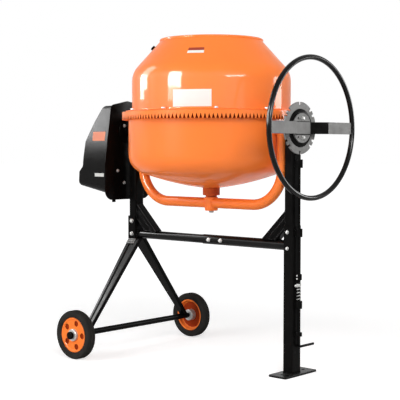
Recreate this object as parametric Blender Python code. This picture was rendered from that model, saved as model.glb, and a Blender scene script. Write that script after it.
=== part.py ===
"""Tilting-drum concrete mixer, one named object for each physical piece.

Metres, +Z up, the floor at z = 0. +X runs along the tilting axis towards the handwheel, and the front of the
machine faces -Y. Positions called *_X are counted from the drum's axis, which stands AXIS_X from the origin.
"""

import math

import bmesh
import bpy
from mathutils import Matrix, Vector

# General
AXIS_X = 0.0803                 # the drum's axis, so that the whole machine is centred on the origin
FIT = 0.0003                    # gap between pieces that rest on each other
TRUNNION_Z = 0.9415             # height of the tilting axis
ROUND = 24                      # sides of a middling round piece
SMALL_ROUND = 16                # sides of a thin round piece
DRUM_SIDES = 48                 # sides of the drum's shells
WHEEL_SIDES = 32                # sides of tyres and rims
SMOOTH_ANGLE = math.radians(32)

# Uprights and the crossbar between them
RIGHT_POST_GAP = 0.0068          # between the yoke's boss and the post
LEFT_POST_GAP = 0.0033
POST_WIDTH = 0.0394             # along X
POST_DEPTH = 0.0494             # along Y
POST_WALL = 0.002
POST_CORNER = 0.005
POST_FOOT_Z = 0.4763
POST_RISE = 0.0435              # upright above the tilting axis
CROSSBAR_Z = 0.495
CROSSBAR_DIAMETER = 0.036
CROSSBAR_WALL = 0.0025
SLEEVE_DIAMETER = 0.040         # the right tube, which takes the end of the left one
SPLICE_X = -0.040
SPLICE_LENGTH = 0.115
BRACE_WIDTH = 0.052
BRACE_DEPTH = 0.038
BRACE_WALL = 0.0025
BRACE_GROOVE = 0.0025           # two pressed grooves on each broad face
BRACE_GROOVE_WIDTH = 0.010
BRACE_REACH = 0.116             # outer edge along the crossbar, and as far up the post

# Legs, axle and wheels
CLAMP_WALL = 0.0045
CLAMP_LOW_Z = 0.476
CLAMP_HEIGHT = 0.098
LEG_SIDE = 0.035
LEG_WALL = 0.002
LEG_CORNER = 0.004
LEG_WHEEL_GAP = 0.063           # from a wheel's middle to where its leg's centreline meets the axle
WHEEL_DIAMETER = 0.200
WHEEL_TRACK = 0.704
TYRE_WIDTH = 0.042
TYRE_SHOULDER = 0.010
RIM_DIAMETER = 0.143
RIM_WIDTH = 0.030
RIM_WEB = 0.006
RIM_DISH = 0.0085               # from a wheel's middle out to the middle of its web
RIM_LIP = 0.006
RIM_HOLES = 5
RIM_HOLE_DIAMETER = 0.020
RIM_HOLE_CIRCLE = 0.100
WHEEL_HUB_DIAMETER = 0.056
WHEEL_HUB_LENGTH = 0.044
AXLE_DIAMETER = 0.020
AXLE_TUBE_DIAMETER = 0.025      # of the axle between the wheels
AXLE_SHOULDER = 0.010           # from the thick part of the axle to each wheel's hub
AXLE_PROUD = 0.012              # axle beyond each wheel's hub
CAP_DIAMETER = 0.031
CAP_LENGTH = 0.011
CAP_END = 0.003                 # thickness of the cap's closed end
STAND_WALL = 0.0023
STAND_TOP_Z = 0.5714
FOOT_WIDTH = 0.084
FOOT_LENGTH = 0.201
FOOT_SHIFT = 0.007              # of the foot plate's middle behind the post's
FOOT_THICKNESS = 0.008
FOOT_CORNER = 0.008
FOOT_HOLE = 0.014
FOOT_HOLE_Y = 0.066

# Yoke and trunnions
YOKE_DIAMETER = 0.042
YOKE_Z = 0.644
YOKE_BOWL_GAP = 0.0065          # between the bowl and the right arm
YOKE_GEAR_GAP = 0.006           # between the ring gear and the left arm's boss
YOKE_BEND = 0.145
BEND_STEPS = 7
YOKE_SIDES = 14
BOSS_LENGTH = 0.043
RIGHT_BOSS_DIAMETER = 0.054
LEFT_BOSS_DIAMETER = 0.060
RIGHT_SHAFT_DIAMETER = 0.030
JOURNAL_DIAMETER = 0.034
HUB_DIAMETER = 0.053
HUB_TOP_Z = 0.6675
HUB_LOW_Z = 0.6125
RIGHT_BEARING_DIAMETER = 0.040
LEFT_BEARING_DIAMETER = 0.042
BEARING_FLANGE_DIAMETER = 0.110
BEARING_FLANGE = 0.006
BEARING_END = 0.0015            # bearing beyond the post's inner face

# Drum
BOWL_RADIUS = 0.3345
BOWL_WALL = 0.003
BOWL_KNUCKLE = 0.075            # rounding between the bowl's wall and its floor
BOWL_FLOOR_Z = 0.7055
BOWL_FLOOR_ANGLE = math.radians(14)
KNUCKLE_STEPS = 5
DRUM_FLANGE = 0.0025
DRUM_FLANGE_WIDTH = 0.0105      # flange beyond the bowl's wall
CONE_STEP = 0.0145              # upper shell inside the bowl's wall
CONE_WALL = 0.0025
CONE_LOW_Z = 1.1865             # a point on the slope
CONE_LOW_STEP = 0.018           # that point inside the upper shell's wall
CONE_SHOULDER = 0.090           # rounding between cylinder and slope
SHOULDER_STEPS = 3
MOUTH_RADIUS = 0.203
MOUTH_Z = 1.2965
BEAD_RADIUS = 0.006
BEAD_STEPS = 4
SPINDLE_BOSS_RADIUS = 0.035
SPINDLE_BOSS = 0.030
SPINDLE_NECK_RADIUS = 0.023
SPINDLE_DIAMETER = 0.030
NUT_WIDTH = 0.018
NUT_HEIGHT = 0.008
BLADE_THICKNESS = 0.004
BLADE_WIDTH = 0.055
BLADE_TOP_Z = 0.985
BLADE_FOOT_RADIUS = 0.180
BLADE_FOOT_HEIGHT = 0.050       # height of the blade's inner edge above the floor
BLADE_KNEE_Z = 0.905            # where the blade turns upright
BLADE_KNEE_GAP = 0.024          # gap to the wall at that height
BLADE_ANGLE = math.radians(62)

# Ring gear and pinion
GEAR_TEETH = 144
GEAR_SEAT = 0.003               # ring gear's bore outside the bowl's wall
GEAR_FACE = 0.0225              # width of its teeth
GEAR_ADDENDUM_MODULES = 0.97    # tooth tips below the pitch line
TOOTH_DEPTH_MODULES = 3.1
GEAR_WEB = 0.0165
TOOTH_SHARE = 0.43              # tooth width over pitch, at the pitch line
FLANK_ANGLE = math.radians(16)
PINION_TEETH = 17
PINION_ADDENDUM_MODULES = 1.28
PINION_TOOTH_SHARE = 0.41
PINION_TIP_SHARE = 0.039        # tooth width over pitch, at the tip
PINION_ROOT_CLEARANCE = 0.002
PINION_SIDE = 0.001             # pinion's face inside the ring gear's face, at each side
SHAFT_DIAMETER = 0.025
SHAFT_END = 0.0535              # shaft beyond the plate

# Drive housing
PLATE_STANDOFF = 0.0323         # between the left post and the plate
PLATE_THICKNESS = 0.0025
PLATE_MARGIN = 0.025            # plate below the cover
PLATE_TOP_Z = 1.070
PLATE_HALF_WIDTH = 0.136
PLATE_WIDE_RISE = 0.035         # the sides are upright below this height above the motor's shaft
PLATE_SHOULDER_Z = 1.050
PLATE_SHOULDER_HALF = 0.0985
PLATE_CORNER = 0.042
PLATE_TAB = 0.010
PLATE_TAB_Y = 0.084             # the tab's place, towards the front
COVER_MOTOR_GAP = 0.045         # under the motor, at the plate
COVER_TOP_Z = 1.055
COVER_HALF_WIDTH = 0.132
COVER_SHOULDER_Z = 1.047
COVER_SHOULDER_HALF = 0.0935
COVER_CORNER = 0.032
COVER_WALL = 0.003
COVER_EDGE = 0.011              # rounding where the sides meet the outer face
COVER_LIFT = 0.0315             # the cover's underside rises outwards by this much
COVER_LIFT_REACH = 0.100
COVER_TOP_DEPTH = 0.053
COVER_UPPER_Z = 0.9795
COVER_UPPER_DEPTH = 0.103
COVER_BELLY_Z = 0.8958
COVER_BELLY_DEPTH = 0.149
COVER_STEP_RISE = 0.022         # the step above the motor's shaft
COVER_STEP_DEPTH = 0.158
COVER_MOTOR_DROP = 0.0014       # the step's lower edge below the motor's shaft
COVER_MOTOR_DEPTH = 0.182
COVER_BASE_DEPTH = 0.1885
VENTS = 6
VENT_LENGTH = 0.150
VENT_HEIGHT = 0.006
VENT_PITCH = 0.0145
VENT_RISE = 0.037               # lowest vent above the motor's shaft
MOTOR_DROP = 0.1765             # motor's shaft below the tilting axis
MOTOR_DIAMETER = 0.104
MOTOR_STANDOFF = 0.0465         # between the plate and the motor
MOTOR_LENGTH = 0.095
MOTOR_SHAFT_DIAMETER = 0.014
PILLAR_DIAMETER = 0.012
PILLAR_Y = 0.045
PILLAR_Z = 0.015
BELT_STANDOFF = 0.0235          # from the plate to the middle of the belt
BELT_WIDTH = 0.009
BELT_THICKNESS = 0.005
PULLEY_WIDTH = 0.016
PULLEY_FLANGE = 0.005           # pulley's rim above the belt's seat
LARGE_SEAT_RADIUS = 0.080
SMALL_SEAT_RADIUS = 0.016
PULLEY_WEB = 0.005
PULLEY_HUB_RADIUS = 0.020

# Switch, on the cover's rear side
SWITCH_DEPTH_X = 0.072          # from the plate
SWITCH_DROP = 0.013             # the switch below the motor's shaft
SWITCH_WIDTH = 0.056
SWITCH_HEIGHT = 0.088
SWITCH_THICKNESS = 0.040
SWITCH_CORNER = 0.006
BUTTON_DIAMETER = 0.022
BUTTON_GAP = 0.0004
BUTTON_POCKET = 0.010
BUTTON_PROUD = 0.004
BUTTON_TRAVEL = 0.003
BUTTON_RISE = 0.020
INLET_DIAMETER = 0.034
INLET_LENGTH = 0.024
INLET_WALL = 0.003
INLET_FLOOR = 0.006

# Handwheel and tilt lock
LOCK_STANDOFF = 0.0128          # from the right post to the plane of the disc and rod
DISC_RADIUS = 0.0988
DISC_THICKNESS = 0.006
NOTCH_WIDTH = 0.0115
NOTCH_DEPTH = 0.0115
NOTCH_ANGLES = (0, 45, 60, 120, 135, 180, 225, 240, 300, 315)
HUB_PLATE_RADIUS = 0.0725
HUB_PLATE = 0.004
HUB_FLANGE_RADIUS = 0.056
HUB_FLANGE = 0.006
HANDWHEEL_STANDOFF = 0.0601     # from the disc's plane to the handwheel's
HANDWHEEL_RADIUS = 0.2627
HANDWHEEL_TUBE = 0.020
HANDWHEEL_STEPS = 48
BAR_HEIGHT = 0.045
BAR_THICKNESS = 0.005
BAR_MIDDLE = 0.043              # half of the flat part at the hub
BAR_BEND = 0.100                # where the bar reaches the handwheel's plane
ROD_DIAMETER = 0.010
ROD_REST_GAP = 0.001            # the rod's tip below the disc at rest
PEDAL_Z = 0.110
PEDAL_REACH = 0.095
PEDAL_BEND = 0.016
GUIDE_HALF_WIDTH = 0.013
UPPER_GUIDE_Z = 0.7912
MIDDLE_GUIDE_Z = 0.5296
LONG_GUIDE = 0.032
SEAT_GUIDE_Z = 0.2567
SEAT_GUIDE = 0.030
FOOT_GUIDE_Z = 0.151
FOOT_GUIDE = 0.015
SPRING_LENGTH = 0.0565
SPRING_WIRE = 0.0024
SPRING_RADIUS = 0.0080          # to the middle of the wire
SPRING_CURLS = 6
SPRING_POINTS = 9               # points on each curl
COLLAR_DIAMETER = 0.0188
COLLAR_HEIGHT = 0.008

# Values that follow from the ones above
DRUM_FLANGE_RADIUS = BOWL_RADIUS + DRUM_FLANGE_WIDTH
CONE_RADIUS = BOWL_RADIUS - CONE_STEP
CONE_LOW_RADIUS = CONE_RADIUS - CONE_LOW_STEP
GEAR_INNER = BOWL_RADIUS + GEAR_SEAT
GEAR_OUTER = GEAR_INNER + GEAR_FACE
YOKE_RIGHT_X = BOWL_RADIUS + YOKE_BOWL_GAP + YOKE_DIAMETER / 2
YOKE_LEFT_X = -(GEAR_OUTER + YOKE_GEAR_GAP + BOSS_LENGTH / 2)
RIGHT_POST_X = YOKE_RIGHT_X + BOSS_LENGTH / 2 + RIGHT_POST_GAP + POST_WIDTH / 2
LEFT_POST_X = YOKE_LEFT_X - BOSS_LENGTH / 2 - LEFT_POST_GAP - POST_WIDTH / 2
PLATE_X = LEFT_POST_X - POST_WIDTH / 2 - PLATE_STANDOFF - PLATE_THICKNESS
SHAFT_OUTER_X = PLATE_X - SHAFT_END
MOTOR_Z = TRUNNION_Z - MOTOR_DROP
COVER_LOW_Z = MOTOR_Z - MOTOR_DIAMETER / 2 - COVER_MOTOR_GAP
COVER_MOTOR_Z = MOTOR_Z - COVER_MOTOR_DROP
COVER_STEP_Z = MOTOR_Z + COVER_STEP_RISE
VENT_LOW_Z = MOTOR_Z + VENT_RISE
SWITCH_Z = MOTOR_Z - SWITCH_DROP
PLATE_LOW_Z = COVER_LOW_Z - PLATE_MARGIN
PLATE_WIDE_Z = MOTOR_Z + PLATE_WIDE_RISE
MOTOR_INNER_X = PLATE_X - MOTOR_STANDOFF
BELT_X = PLATE_X - BELT_STANDOFF
LOCK_X = RIGHT_POST_X + POST_WIDTH / 2 + LOCK_STANDOFF
HANDWHEEL_X = LOCK_X + HANDWHEEL_STANDOFF
POST_TOP_Z = TRUNNION_Z + POST_RISE
AXLE_Z = WHEEL_DIAMETER / 2
AXLE_END_Y = WHEEL_TRACK / 2 + WHEEL_HUB_LENGTH / 2 + AXLE_PROUD
AXLE_TUBE_Y = WHEEL_TRACK / 2 - WHEEL_HUB_LENGTH / 2 - AXLE_SHOULDER
LEG_SPREAD_Y = WHEEL_TRACK / 2 - LEG_WHEEL_GAP
STAND_FACE_X = RIGHT_POST_X + POST_WIDTH / 2 + FIT + STAND_WALL
MESH_RADIUS = (GEAR_OUTER + GEAR_INNER) / 2
MODULE = 2 * MESH_RADIUS / GEAR_TEETH
PINION_RADIUS = MODULE * PINION_TEETH / 2
GEAR_ADDENDUM = GEAR_ADDENDUM_MODULES * MODULE
PINION_ADDENDUM = PINION_ADDENDUM_MODULES * MODULE
GEAR_TIP_Z = TRUNNION_Z + PINION_RADIUS - GEAR_ADDENDUM
GEAR_ROOT_Z = GEAR_TIP_Z + TOOTH_DEPTH_MODULES * MODULE
GEAR_TOP_Z = GEAR_ROOT_Z + GEAR_WEB
BOWL_TOP_Z = GEAR_TOP_Z + FIT + DRUM_FLANGE
CONE_FOOT_Z = BOWL_TOP_Z + FIT
LARGE_PULLEY_RADIUS = LARGE_SEAT_RADIUS + PULLEY_FLANGE
DISC_INNER_X = LOCK_X - DISC_THICKNESS / 2
HUB_PLATE_X = LOCK_X + DISC_THICKNESS / 2 + FIT
HUB_FLANGE_X = HUB_PLATE_X + HUB_PLATE + FIT
BAR_X = HUB_FLANGE_X + HUB_FLANGE + FIT

TO_X = Matrix.Rotation(math.radians(90), 4, "Y")
TO_Y = Matrix.Rotation(math.radians(-90), 4, "X")


def make_material(name, colour, roughness, metallic=0.0, coat=0.0):
    """Return a Principled material."""
    material = bpy.data.materials.new(name)
    material.use_nodes = True
    shader = material.node_tree.nodes["Principled BSDF"]
    shader.inputs["Base Color"].default_value = (*colour, 1.0)
    shader.inputs["Roughness"].default_value = roughness
    shader.inputs["Metallic"].default_value = metallic
    shader.inputs["Coat Weight"].default_value = coat
    return material


def add_piece(name, bm, location, material, turn=None):
    """Turn a bmesh into a named object with outward faces and smooth round sides."""
    if turn is not None:
        bm.transform(turn)
    bmesh.ops.recalc_face_normals(bm, faces=bm.faces[:])
    mesh = bpy.data.meshes.new(name)
    bm.to_mesh(mesh)
    bm.free()
    mesh.polygons.foreach_set("use_smooth", [True] * len(mesh.polygons))
    mesh.set_sharp_from_angle(angle=SMOOTH_ANGLE)
    if material is not None:
        mesh.materials.append(material)
    piece = bpy.data.objects.new(name, mesh)
    piece.location = location
    bpy.context.scene.collection.objects.link(piece)
    return piece


def add_helper(name, bm, location, turn=None):
    """Make a hidden object that only shapes another piece."""
    helper = add_piece(name, bm, location, None, turn)
    helper.hide_render = True
    helper.display_type = "WIRE"
    return helper


def shape_with(piece, helper, operation):
    """Join a helper to a piece, or cut it out of the piece."""
    modifier = piece.modifiers.new(helper.name, "BOOLEAN")
    modifier.operation = operation
    modifier.solver = "EXACT"
    modifier.object = helper


def at(x, y=0.0, z=0.0):
    """Return a point whose x is counted from the drum's axis."""
    return (AXIS_X + x, y, z)


def join_rings(bm, first, second):
    """Lay faces between two rings of vertices, either of which may be one point."""
    if len(first) == 1 and len(second) == 1:
        return
    count = max(len(first), len(second))
    for i in range(count):
        j = (i + 1) % count
        if len(first) == 1:
            bm.faces.new((first[0], second[j], second[i]))
        elif len(second) == 1:
            bm.faces.new((first[i], first[j], second[0]))
        else:
            bm.faces.new((first[i], first[j], second[j], second[i]))


def turned(outline, sides):
    """Turn a closed outline of (radius, height) points about Z."""
    bm = bmesh.new()
    rings = []
    for radius, height in outline:
        if radius == 0.0:
            rings.append([bm.verts.new((0.0, 0.0, height))])
            continue
        ring = []
        for i in range(sides):
            angle = 2 * math.pi * i / sides
            ring.append(bm.verts.new((radius * math.cos(angle), radius * math.sin(angle), height)))
        rings.append(ring)
    for first, second in zip(rings, rings[1:] + rings[:1]):
        join_rings(bm, first, second)
    return bm


def cylinder(radius, low, high, sides=ROUND):
    """Return a solid cylinder about Z."""
    return turned(((0.0, low), (radius, low), (radius, high), (0.0, high)), sides)


def tube(inner, outer, low, high, sides=ROUND):
    """Return a straight tube about Z."""
    return turned(((inner, low), (outer, low), (outer, high), (inner, high)), sides)


def height_at(cut, x, y):
    """Return an end's height, which is a number or a sloping cut."""
    return cut(x, y) if callable(cut) else cut


def prism(outline, low, high, holes=()):
    """Raise a flat outline along Z between two ends, with holes that run right through."""
    bm = bmesh.new()
    rims = []
    for loop in (outline, *holes):
        verts = [bm.verts.new((x, y, 0.0)) for x, y in loop]
        rims += [bm.edges.new(pair) for pair in zip(verts, verts[1:] + verts[:1])]
    bmesh.ops.triangle_fill(bm, use_beauty=True, edges=rims)
    bottom = list(bm.faces)
    top = {}
    for vert in list(bm.verts):
        x, y, _ = vert.co
        top[vert] = bm.verts.new((x, y, height_at(high, x, y)))
        vert.co.z = height_at(low, x, y)
    for face in bottom:
        bm.faces.new([top[vert] for vert in reversed(face.verts)])
    for edge in rims:
        first, second = edge.verts
        bm.faces.new((first, second, top[second], top[first]))
    return bm


def circle(radius, sides=SMALL_ROUND, x=0.0, y=0.0):
    """Return a flat circle of points."""
    step = 2 * math.pi / sides
    return [(x + radius * math.cos(step * i), y + radius * math.sin(step * i)) for i in range(sides)]


def rounded(corners, steps=4):
    """Return a flat outline whose (x, y, radius) corners are rounded."""
    outline = []
    count = len(corners)
    for i, (x, y, radius) in enumerate(corners):
        corner = Vector((x, y))
        before = (Vector(corners[i - 1][:2]) - corner).normalized()
        after = (Vector(corners[(i + 1) % count][:2]) - corner).normalized()
        half = before.angle(after) / 2
        if radius <= 0.0:
            outline.append((x, y))
            continue
        reach = radius / math.tan(half)
        middle = corner + (before + after).normalized() * (radius / math.sin(half))
        start = corner + before * reach - middle
        end = corner + after * reach - middle
        sweep = start.angle_signed(end)
        for k in range(steps + 1):
            turn = -sweep * k / steps
            cos, sin = math.cos(turn), math.sin(turn)
            outline.append((middle.x + start.x * cos - start.y * sin, middle.y + start.x * sin + start.y * cos))
    return outline


def rectangle(width, depth, radius=0.0, steps=3):
    """Return a rounded rectangle about the origin."""
    w, d = width / 2, depth / 2
    return rounded(((-w, -d, radius), (w, -d, radius), (w, d, radius), (-w, d, radius)), steps)


def box(width, depth, low, high):
    """Return a plain block about Z."""
    return prism(rectangle(width, depth), low, high)


def swept(path, radius, sides):
    """Carry a circle along a path of points, as one closed tube."""
    points = [Vector(point) for point in path]
    bm = bmesh.new()
    rings = []
    normal = None
    for i, point in enumerate(points):
        ahead = points[min(i + 1, len(points) - 1)] - point
        behind = point - points[max(i - 1, 0)]
        tangent = (ahead.normalized() + behind.normalized()).normalized()
        if normal is None:
            normal = tangent.orthogonal()
        normal = (normal - tangent * normal.dot(tangent)).normalized()
        across = tangent.cross(normal)
        ring = []
        for k in range(sides):
            angle = 2 * math.pi * k / sides
            ring.append(bm.verts.new(point + (normal * math.cos(angle) + across * math.sin(angle)) * radius))
        rings.append(ring)
    for first, second in zip(rings, rings[1:]):
        join_rings(bm, first, second)
    bm.faces.new(rings[0])
    bm.faces.new(rings[-1])
    return bm


def arc(centre, radius, start, end, steps):
    """Return flat points along an arc, angles in radians."""
    cx, cy = centre
    span = end - start
    angles = [start + span * k / steps for k in range(steps + 1)]
    return [(cx + radius * math.cos(angle), cy + radius * math.sin(angle)) for angle in angles]


# Frame

def build_uprights(black):
    """Make the two rectangular posts, bored for the trunnion bearings."""
    sides = (("left_upright", LEFT_POST_X, LEFT_BEARING_DIAMETER),
             ("right_upright", RIGHT_POST_X, RIGHT_BEARING_DIAMETER))
    inner = rectangle(POST_WIDTH - 2 * POST_WALL, POST_DEPTH - 2 * POST_WALL, POST_CORNER - POST_WALL)
    for name, x, bearing in sides:
        outline = rectangle(POST_WIDTH, POST_DEPTH, POST_CORNER)
        post = add_piece(name, prism(outline, POST_FOOT_Z, POST_TOP_Z, [inner]), at(x), black)
        bore = cylinder(bearing / 2 + FIT, -POST_WIDTH, POST_WIDTH)
        shape_with(post, add_helper(name + "_bore", bore, at(x, 0.0, TRUNNION_Z), TO_X), "DIFFERENCE")


def build_crossbars(black):
    """Make the crossbar's two tubes, the left one pushed into the right one."""
    radius = CROSSBAR_DIAMETER / 2
    start = LEFT_POST_X + POST_WIDTH / 2 + FIT
    end = SPLICE_X + SPLICE_LENGTH
    left = tube(radius - CROSSBAR_WALL, radius, start, end, SMALL_ROUND)
    add_piece("left_crossbar", left, at(0.0, 0.0, CROSSBAR_Z), black, TO_X)
    stop = RIGHT_POST_X - POST_WIDTH / 2 - FIT
    right = tube(radius + FIT, SLEEVE_DIAMETER / 2, SPLICE_X, stop, SMALL_ROUND)
    add_piece("right_crossbar", right, at(0.0, 0.0, CROSSBAR_Z), black, TO_X)


def brace_outline():
    """Return the brace's section: a tube with two pressed grooves on its front and rear."""
    w, d = BRACE_WIDTH / 2, BRACE_DEPTH / 2
    floor = d - BRACE_GROOVE
    half = BRACE_GROOVE_WIDTH / 2
    front = [(-w, -d)]
    for middle in (-w / 2, w / 2):
        front += [(middle - half - BRACE_GROOVE, -d), (middle - half, -floor)]
        front += [(middle + half, -floor), (middle + half + BRACE_GROOVE, -d)]
    front.append((w, -d))
    return front + [(-x, -y) for x, y in front]


def build_braces(black):
    """Make the two corner braces between uprights and crossbar."""
    inner = rectangle(BRACE_WIDTH - 2 * BRACE_WALL, BRACE_DEPTH - 2 * (BRACE_GROOVE + BRACE_WALL))
    half = BRACE_WIDTH / math.sqrt(2)
    bars = (("left_brace", LEFT_POST_X + POST_WIDTH / 2, CROSSBAR_DIAMETER / 2, -1),
            ("right_brace", RIGHT_POST_X - POST_WIDTH / 2, SLEEVE_DIAMETER / 2, 1))
    for name, face, radius, side in bars:
        rest = CROSSBAR_Z + radius + FIT
        reach = BRACE_REACH - half

        def foot(x, y):
            """Cut the lower end level, on top of the crossbar."""
            return x

        def head(x, y):
            """Cut the upper end upright, along the post."""
            return (reach - FIT) * math.sqrt(2) - x

        bm = prism(brace_outline(), foot, head, [inner])
        lean = Matrix.Rotation(math.radians(45), 4, "Y")
        turn = lean if side > 0 else Matrix.Rotation(math.pi, 4, "Z") @ lean
        add_piece(name, bm, at(face - side * reach, 0.0, rest), black, turn)


def channel_outline(width, depth, wall, side):
    """Return a channel round a post, its back towards side and open on the other side."""
    w, d = width / 2, depth / 2
    inner = ((-w, -d), (w + FIT, -d), (w + FIT, d), (-w, d))
    back = w + FIT + wall
    outer = ((-w, d + wall), (back, d + wall), (back, -d - wall), (-w, -d - wall))
    return [(side * x, y) for x, y in (*inner, *outer)]


def build_leg_clamp(black):
    """Make the channel that holds the legs to the left upright."""
    outline = channel_outline(POST_WIDTH, POST_DEPTH + 2 * FIT, CLAMP_WALL, -1)
    bm = prism(outline, CLAMP_LOW_Z, CLAMP_LOW_Z + CLAMP_HEIGHT)
    add_piece("leg_clamp", bm, at(LEFT_POST_X), black)


def build_legs(black):
    """Make the two square legs that spread from the clamp to the axle."""
    top = CLAMP_LOW_Z - FIT
    foot = AXLE_Z + AXLE_TUBE_DIAMETER / 2 + FIT
    lean = math.atan2(LEG_SPREAD_Y - LEG_SIDE / 2, top - AXLE_Z)
    start_y = LEG_SIDE / 2 / math.cos(lean) + FIT
    inner = rectangle(LEG_SIDE - 2 * LEG_WALL, LEG_SIDE - 2 * LEG_WALL, LEG_CORNER - LEG_WALL)
    for name, side in (("front_leg", -1), ("rear_leg", 1)):

        def upper(x, y):
            """Cut the upper end level under the clamp."""
            return -side * y * math.tan(lean)

        def lower(x, y):
            """Cut the lower end level on the axle."""
            return (foot - top) / math.cos(lean) - side * y * math.tan(lean)

        bm = prism(rectangle(LEG_SIDE, LEG_SIDE, LEG_CORNER), lower, upper, [inner])
        add_piece(name, bm, at(LEFT_POST_X, side * start_y, top), black,
                  Matrix.Rotation(side * lean, 4, "X"))


def build_axle(black):
    """Make the axle, thicker between the wheels, and the caps that keep the wheels on it."""
    radius = AXLE_DIAMETER / 2
    thick = AXLE_TUBE_DIAMETER / 2
    spot = at(LEFT_POST_X, 0.0, AXLE_Z)
    half = [(0.0, -AXLE_END_Y), (radius, -AXLE_END_Y), (radius, -AXLE_TUBE_Y), (thick, -AXLE_TUBE_Y)]
    whole = half + [(r, -h) for r, h in reversed(half)]
    add_piece("axle", turned(whole, SMALL_ROUND), spot, black, TO_Y)
    floor = AXLE_END_Y + FIT
    end = floor + CAP_END
    start = end - CAP_LENGTH
    bore = radius + FIT
    outer = CAP_DIAMETER / 2
    shape = ((bore, start), (outer, start), (outer, end), (0.0, end), (0.0, floor), (bore, floor))
    add_piece("rear_axle_cap", turned(shape, SMALL_ROUND), spot, black, TO_Y)
    add_piece("front_axle_cap", turned(shape, SMALL_ROUND), spot, black, TO_Y.inverted())


def build_wheels(rubber, orange):
    """Make the two solid tyres and their rims, each turned about its own hub."""
    radius = WHEEL_DIAMETER / 2
    seat = RIM_DIAMETER / 2
    half = TYRE_WIDTH / 2
    low = half - TYRE_SHOULDER
    tread = arc((radius - TYRE_SHOULDER, -low), TYRE_SHOULDER, -math.pi / 2, 0.0, 2)
    tread += [(r, -h) for r, h in reversed(tread)]
    tyre = [(seat + FIT, -half + FIT), *tread, (seat + FIT, half - FIT)]
    hub, bore = WHEEL_HUB_DIAMETER / 2, AXLE_DIAMETER / 2 + FIT
    inside, outside = RIM_DISH - RIM_WEB / 2, RIM_DISH + RIM_WEB / 2
    wide, long = RIM_WIDTH / 2, WHEEL_HUB_LENGTH / 2
    lip = seat - RIM_LIP
    rim = [(bore, -long), (hub, -long), (hub, inside), (lip, inside), (lip, -wide), (seat, -wide),
           (seat, wide), (lip, wide), (lip, outside), (hub, outside), (hub, long), (bore, long)]
    for name, side, turn in (("front", -1, TO_Y.inverted()), ("rear", 1, TO_Y)):
        spot = at(LEFT_POST_X, side * WHEEL_TRACK / 2, AXLE_Z)
        add_piece(name + "_tyre", turned(tyre, WHEEL_SIDES), spot, rubber, TO_Y)
        disc = add_piece(name + "_rim", turned(rim, WHEEL_SIDES), spot, orange, turn)
        for i in range(RIM_HOLES):
            angle = 2 * math.pi * i / RIM_HOLES
            x = RIM_HOLE_CIRCLE / 2 * math.cos(angle)
            z = RIM_HOLE_CIRCLE / 2 * math.sin(angle)
            hole = cylinder(RIM_HOLE_DIAMETER / 2, -RIM_WIDTH, RIM_WIDTH, 10)
            centre = (spot[0] + x, spot[1], spot[2] + z)
            shape_with(disc, add_helper(f"{name}_rim_hole_{i}", hole, centre, TO_Y), "DIFFERENCE")


def build_stand(black):
    """Make the leg under the handwheel and its foot plate."""
    outline = channel_outline(POST_WIDTH, POST_DEPTH + 2 * FIT, STAND_WALL, 1)
    bm = prism(outline, FOOT_THICKNESS + FIT, STAND_TOP_Z)
    add_piece("stand_leg", bm, at(RIGHT_POST_X), black)
    plate = rectangle(FOOT_WIDTH, FOOT_LENGTH, FOOT_CORNER)
    holes = [circle(FOOT_HOLE / 2, 14, 0.0, y) for y in (-FOOT_HOLE_Y, FOOT_HOLE_Y)]
    add_piece("foot_plate", prism(plate, 0.0, FOOT_THICKNESS, holes), at(RIGHT_POST_X, FOOT_SHIFT, 0.0), black)


def build_bearings(black):
    """Make the sleeves in the uprights that carry the yoke's trunnions."""
    spot = at(0.0, 0.0, TRUNNION_Z)
    start = RIGHT_POST_X - POST_WIDTH / 2 - BEARING_END
    end = DISC_INNER_X - BEARING_END
    right = tube(RIGHT_SHAFT_DIAMETER / 2 + FIT, RIGHT_BEARING_DIAMETER / 2, start, end)
    add_piece("right_bearing", right, spot, black, TO_X)
    bore, sleeve = JOURNAL_DIAMETER / 2 + FIT, LEFT_BEARING_DIAMETER / 2
    flange = BEARING_FLANGE_DIAMETER / 2
    face = PLATE_X + PLATE_THICKNESS + FIT
    inner_end = LEFT_POST_X + POST_WIDTH / 2 + BEARING_END
    shape = ((bore, face), (flange, face), (flange, face + BEARING_FLANGE), (sleeve, face + BEARING_FLANGE),
             (sleeve, inner_end), (bore, inner_end))
    add_piece("left_bearing", turned(shape, ROUND), spot, black, TO_X)


# Yoke

def yoke_path(x):
    """Return the bent centreline of one arm, from its trunnion down and in to the hub."""
    side = 1 if x > 0 else -1
    centre = (abs(x) - YOKE_BEND, YOKE_Z + YOKE_BEND)
    bend = arc(centre, YOKE_BEND, 0.0, -math.pi / 2, BEND_STEPS)
    flat = [(abs(x), TRUNNION_Z), *bend, (HUB_DIAMETER / 4, YOKE_Z)]
    return [(side * px, 0.0, pz) for px, pz in flat]


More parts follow.
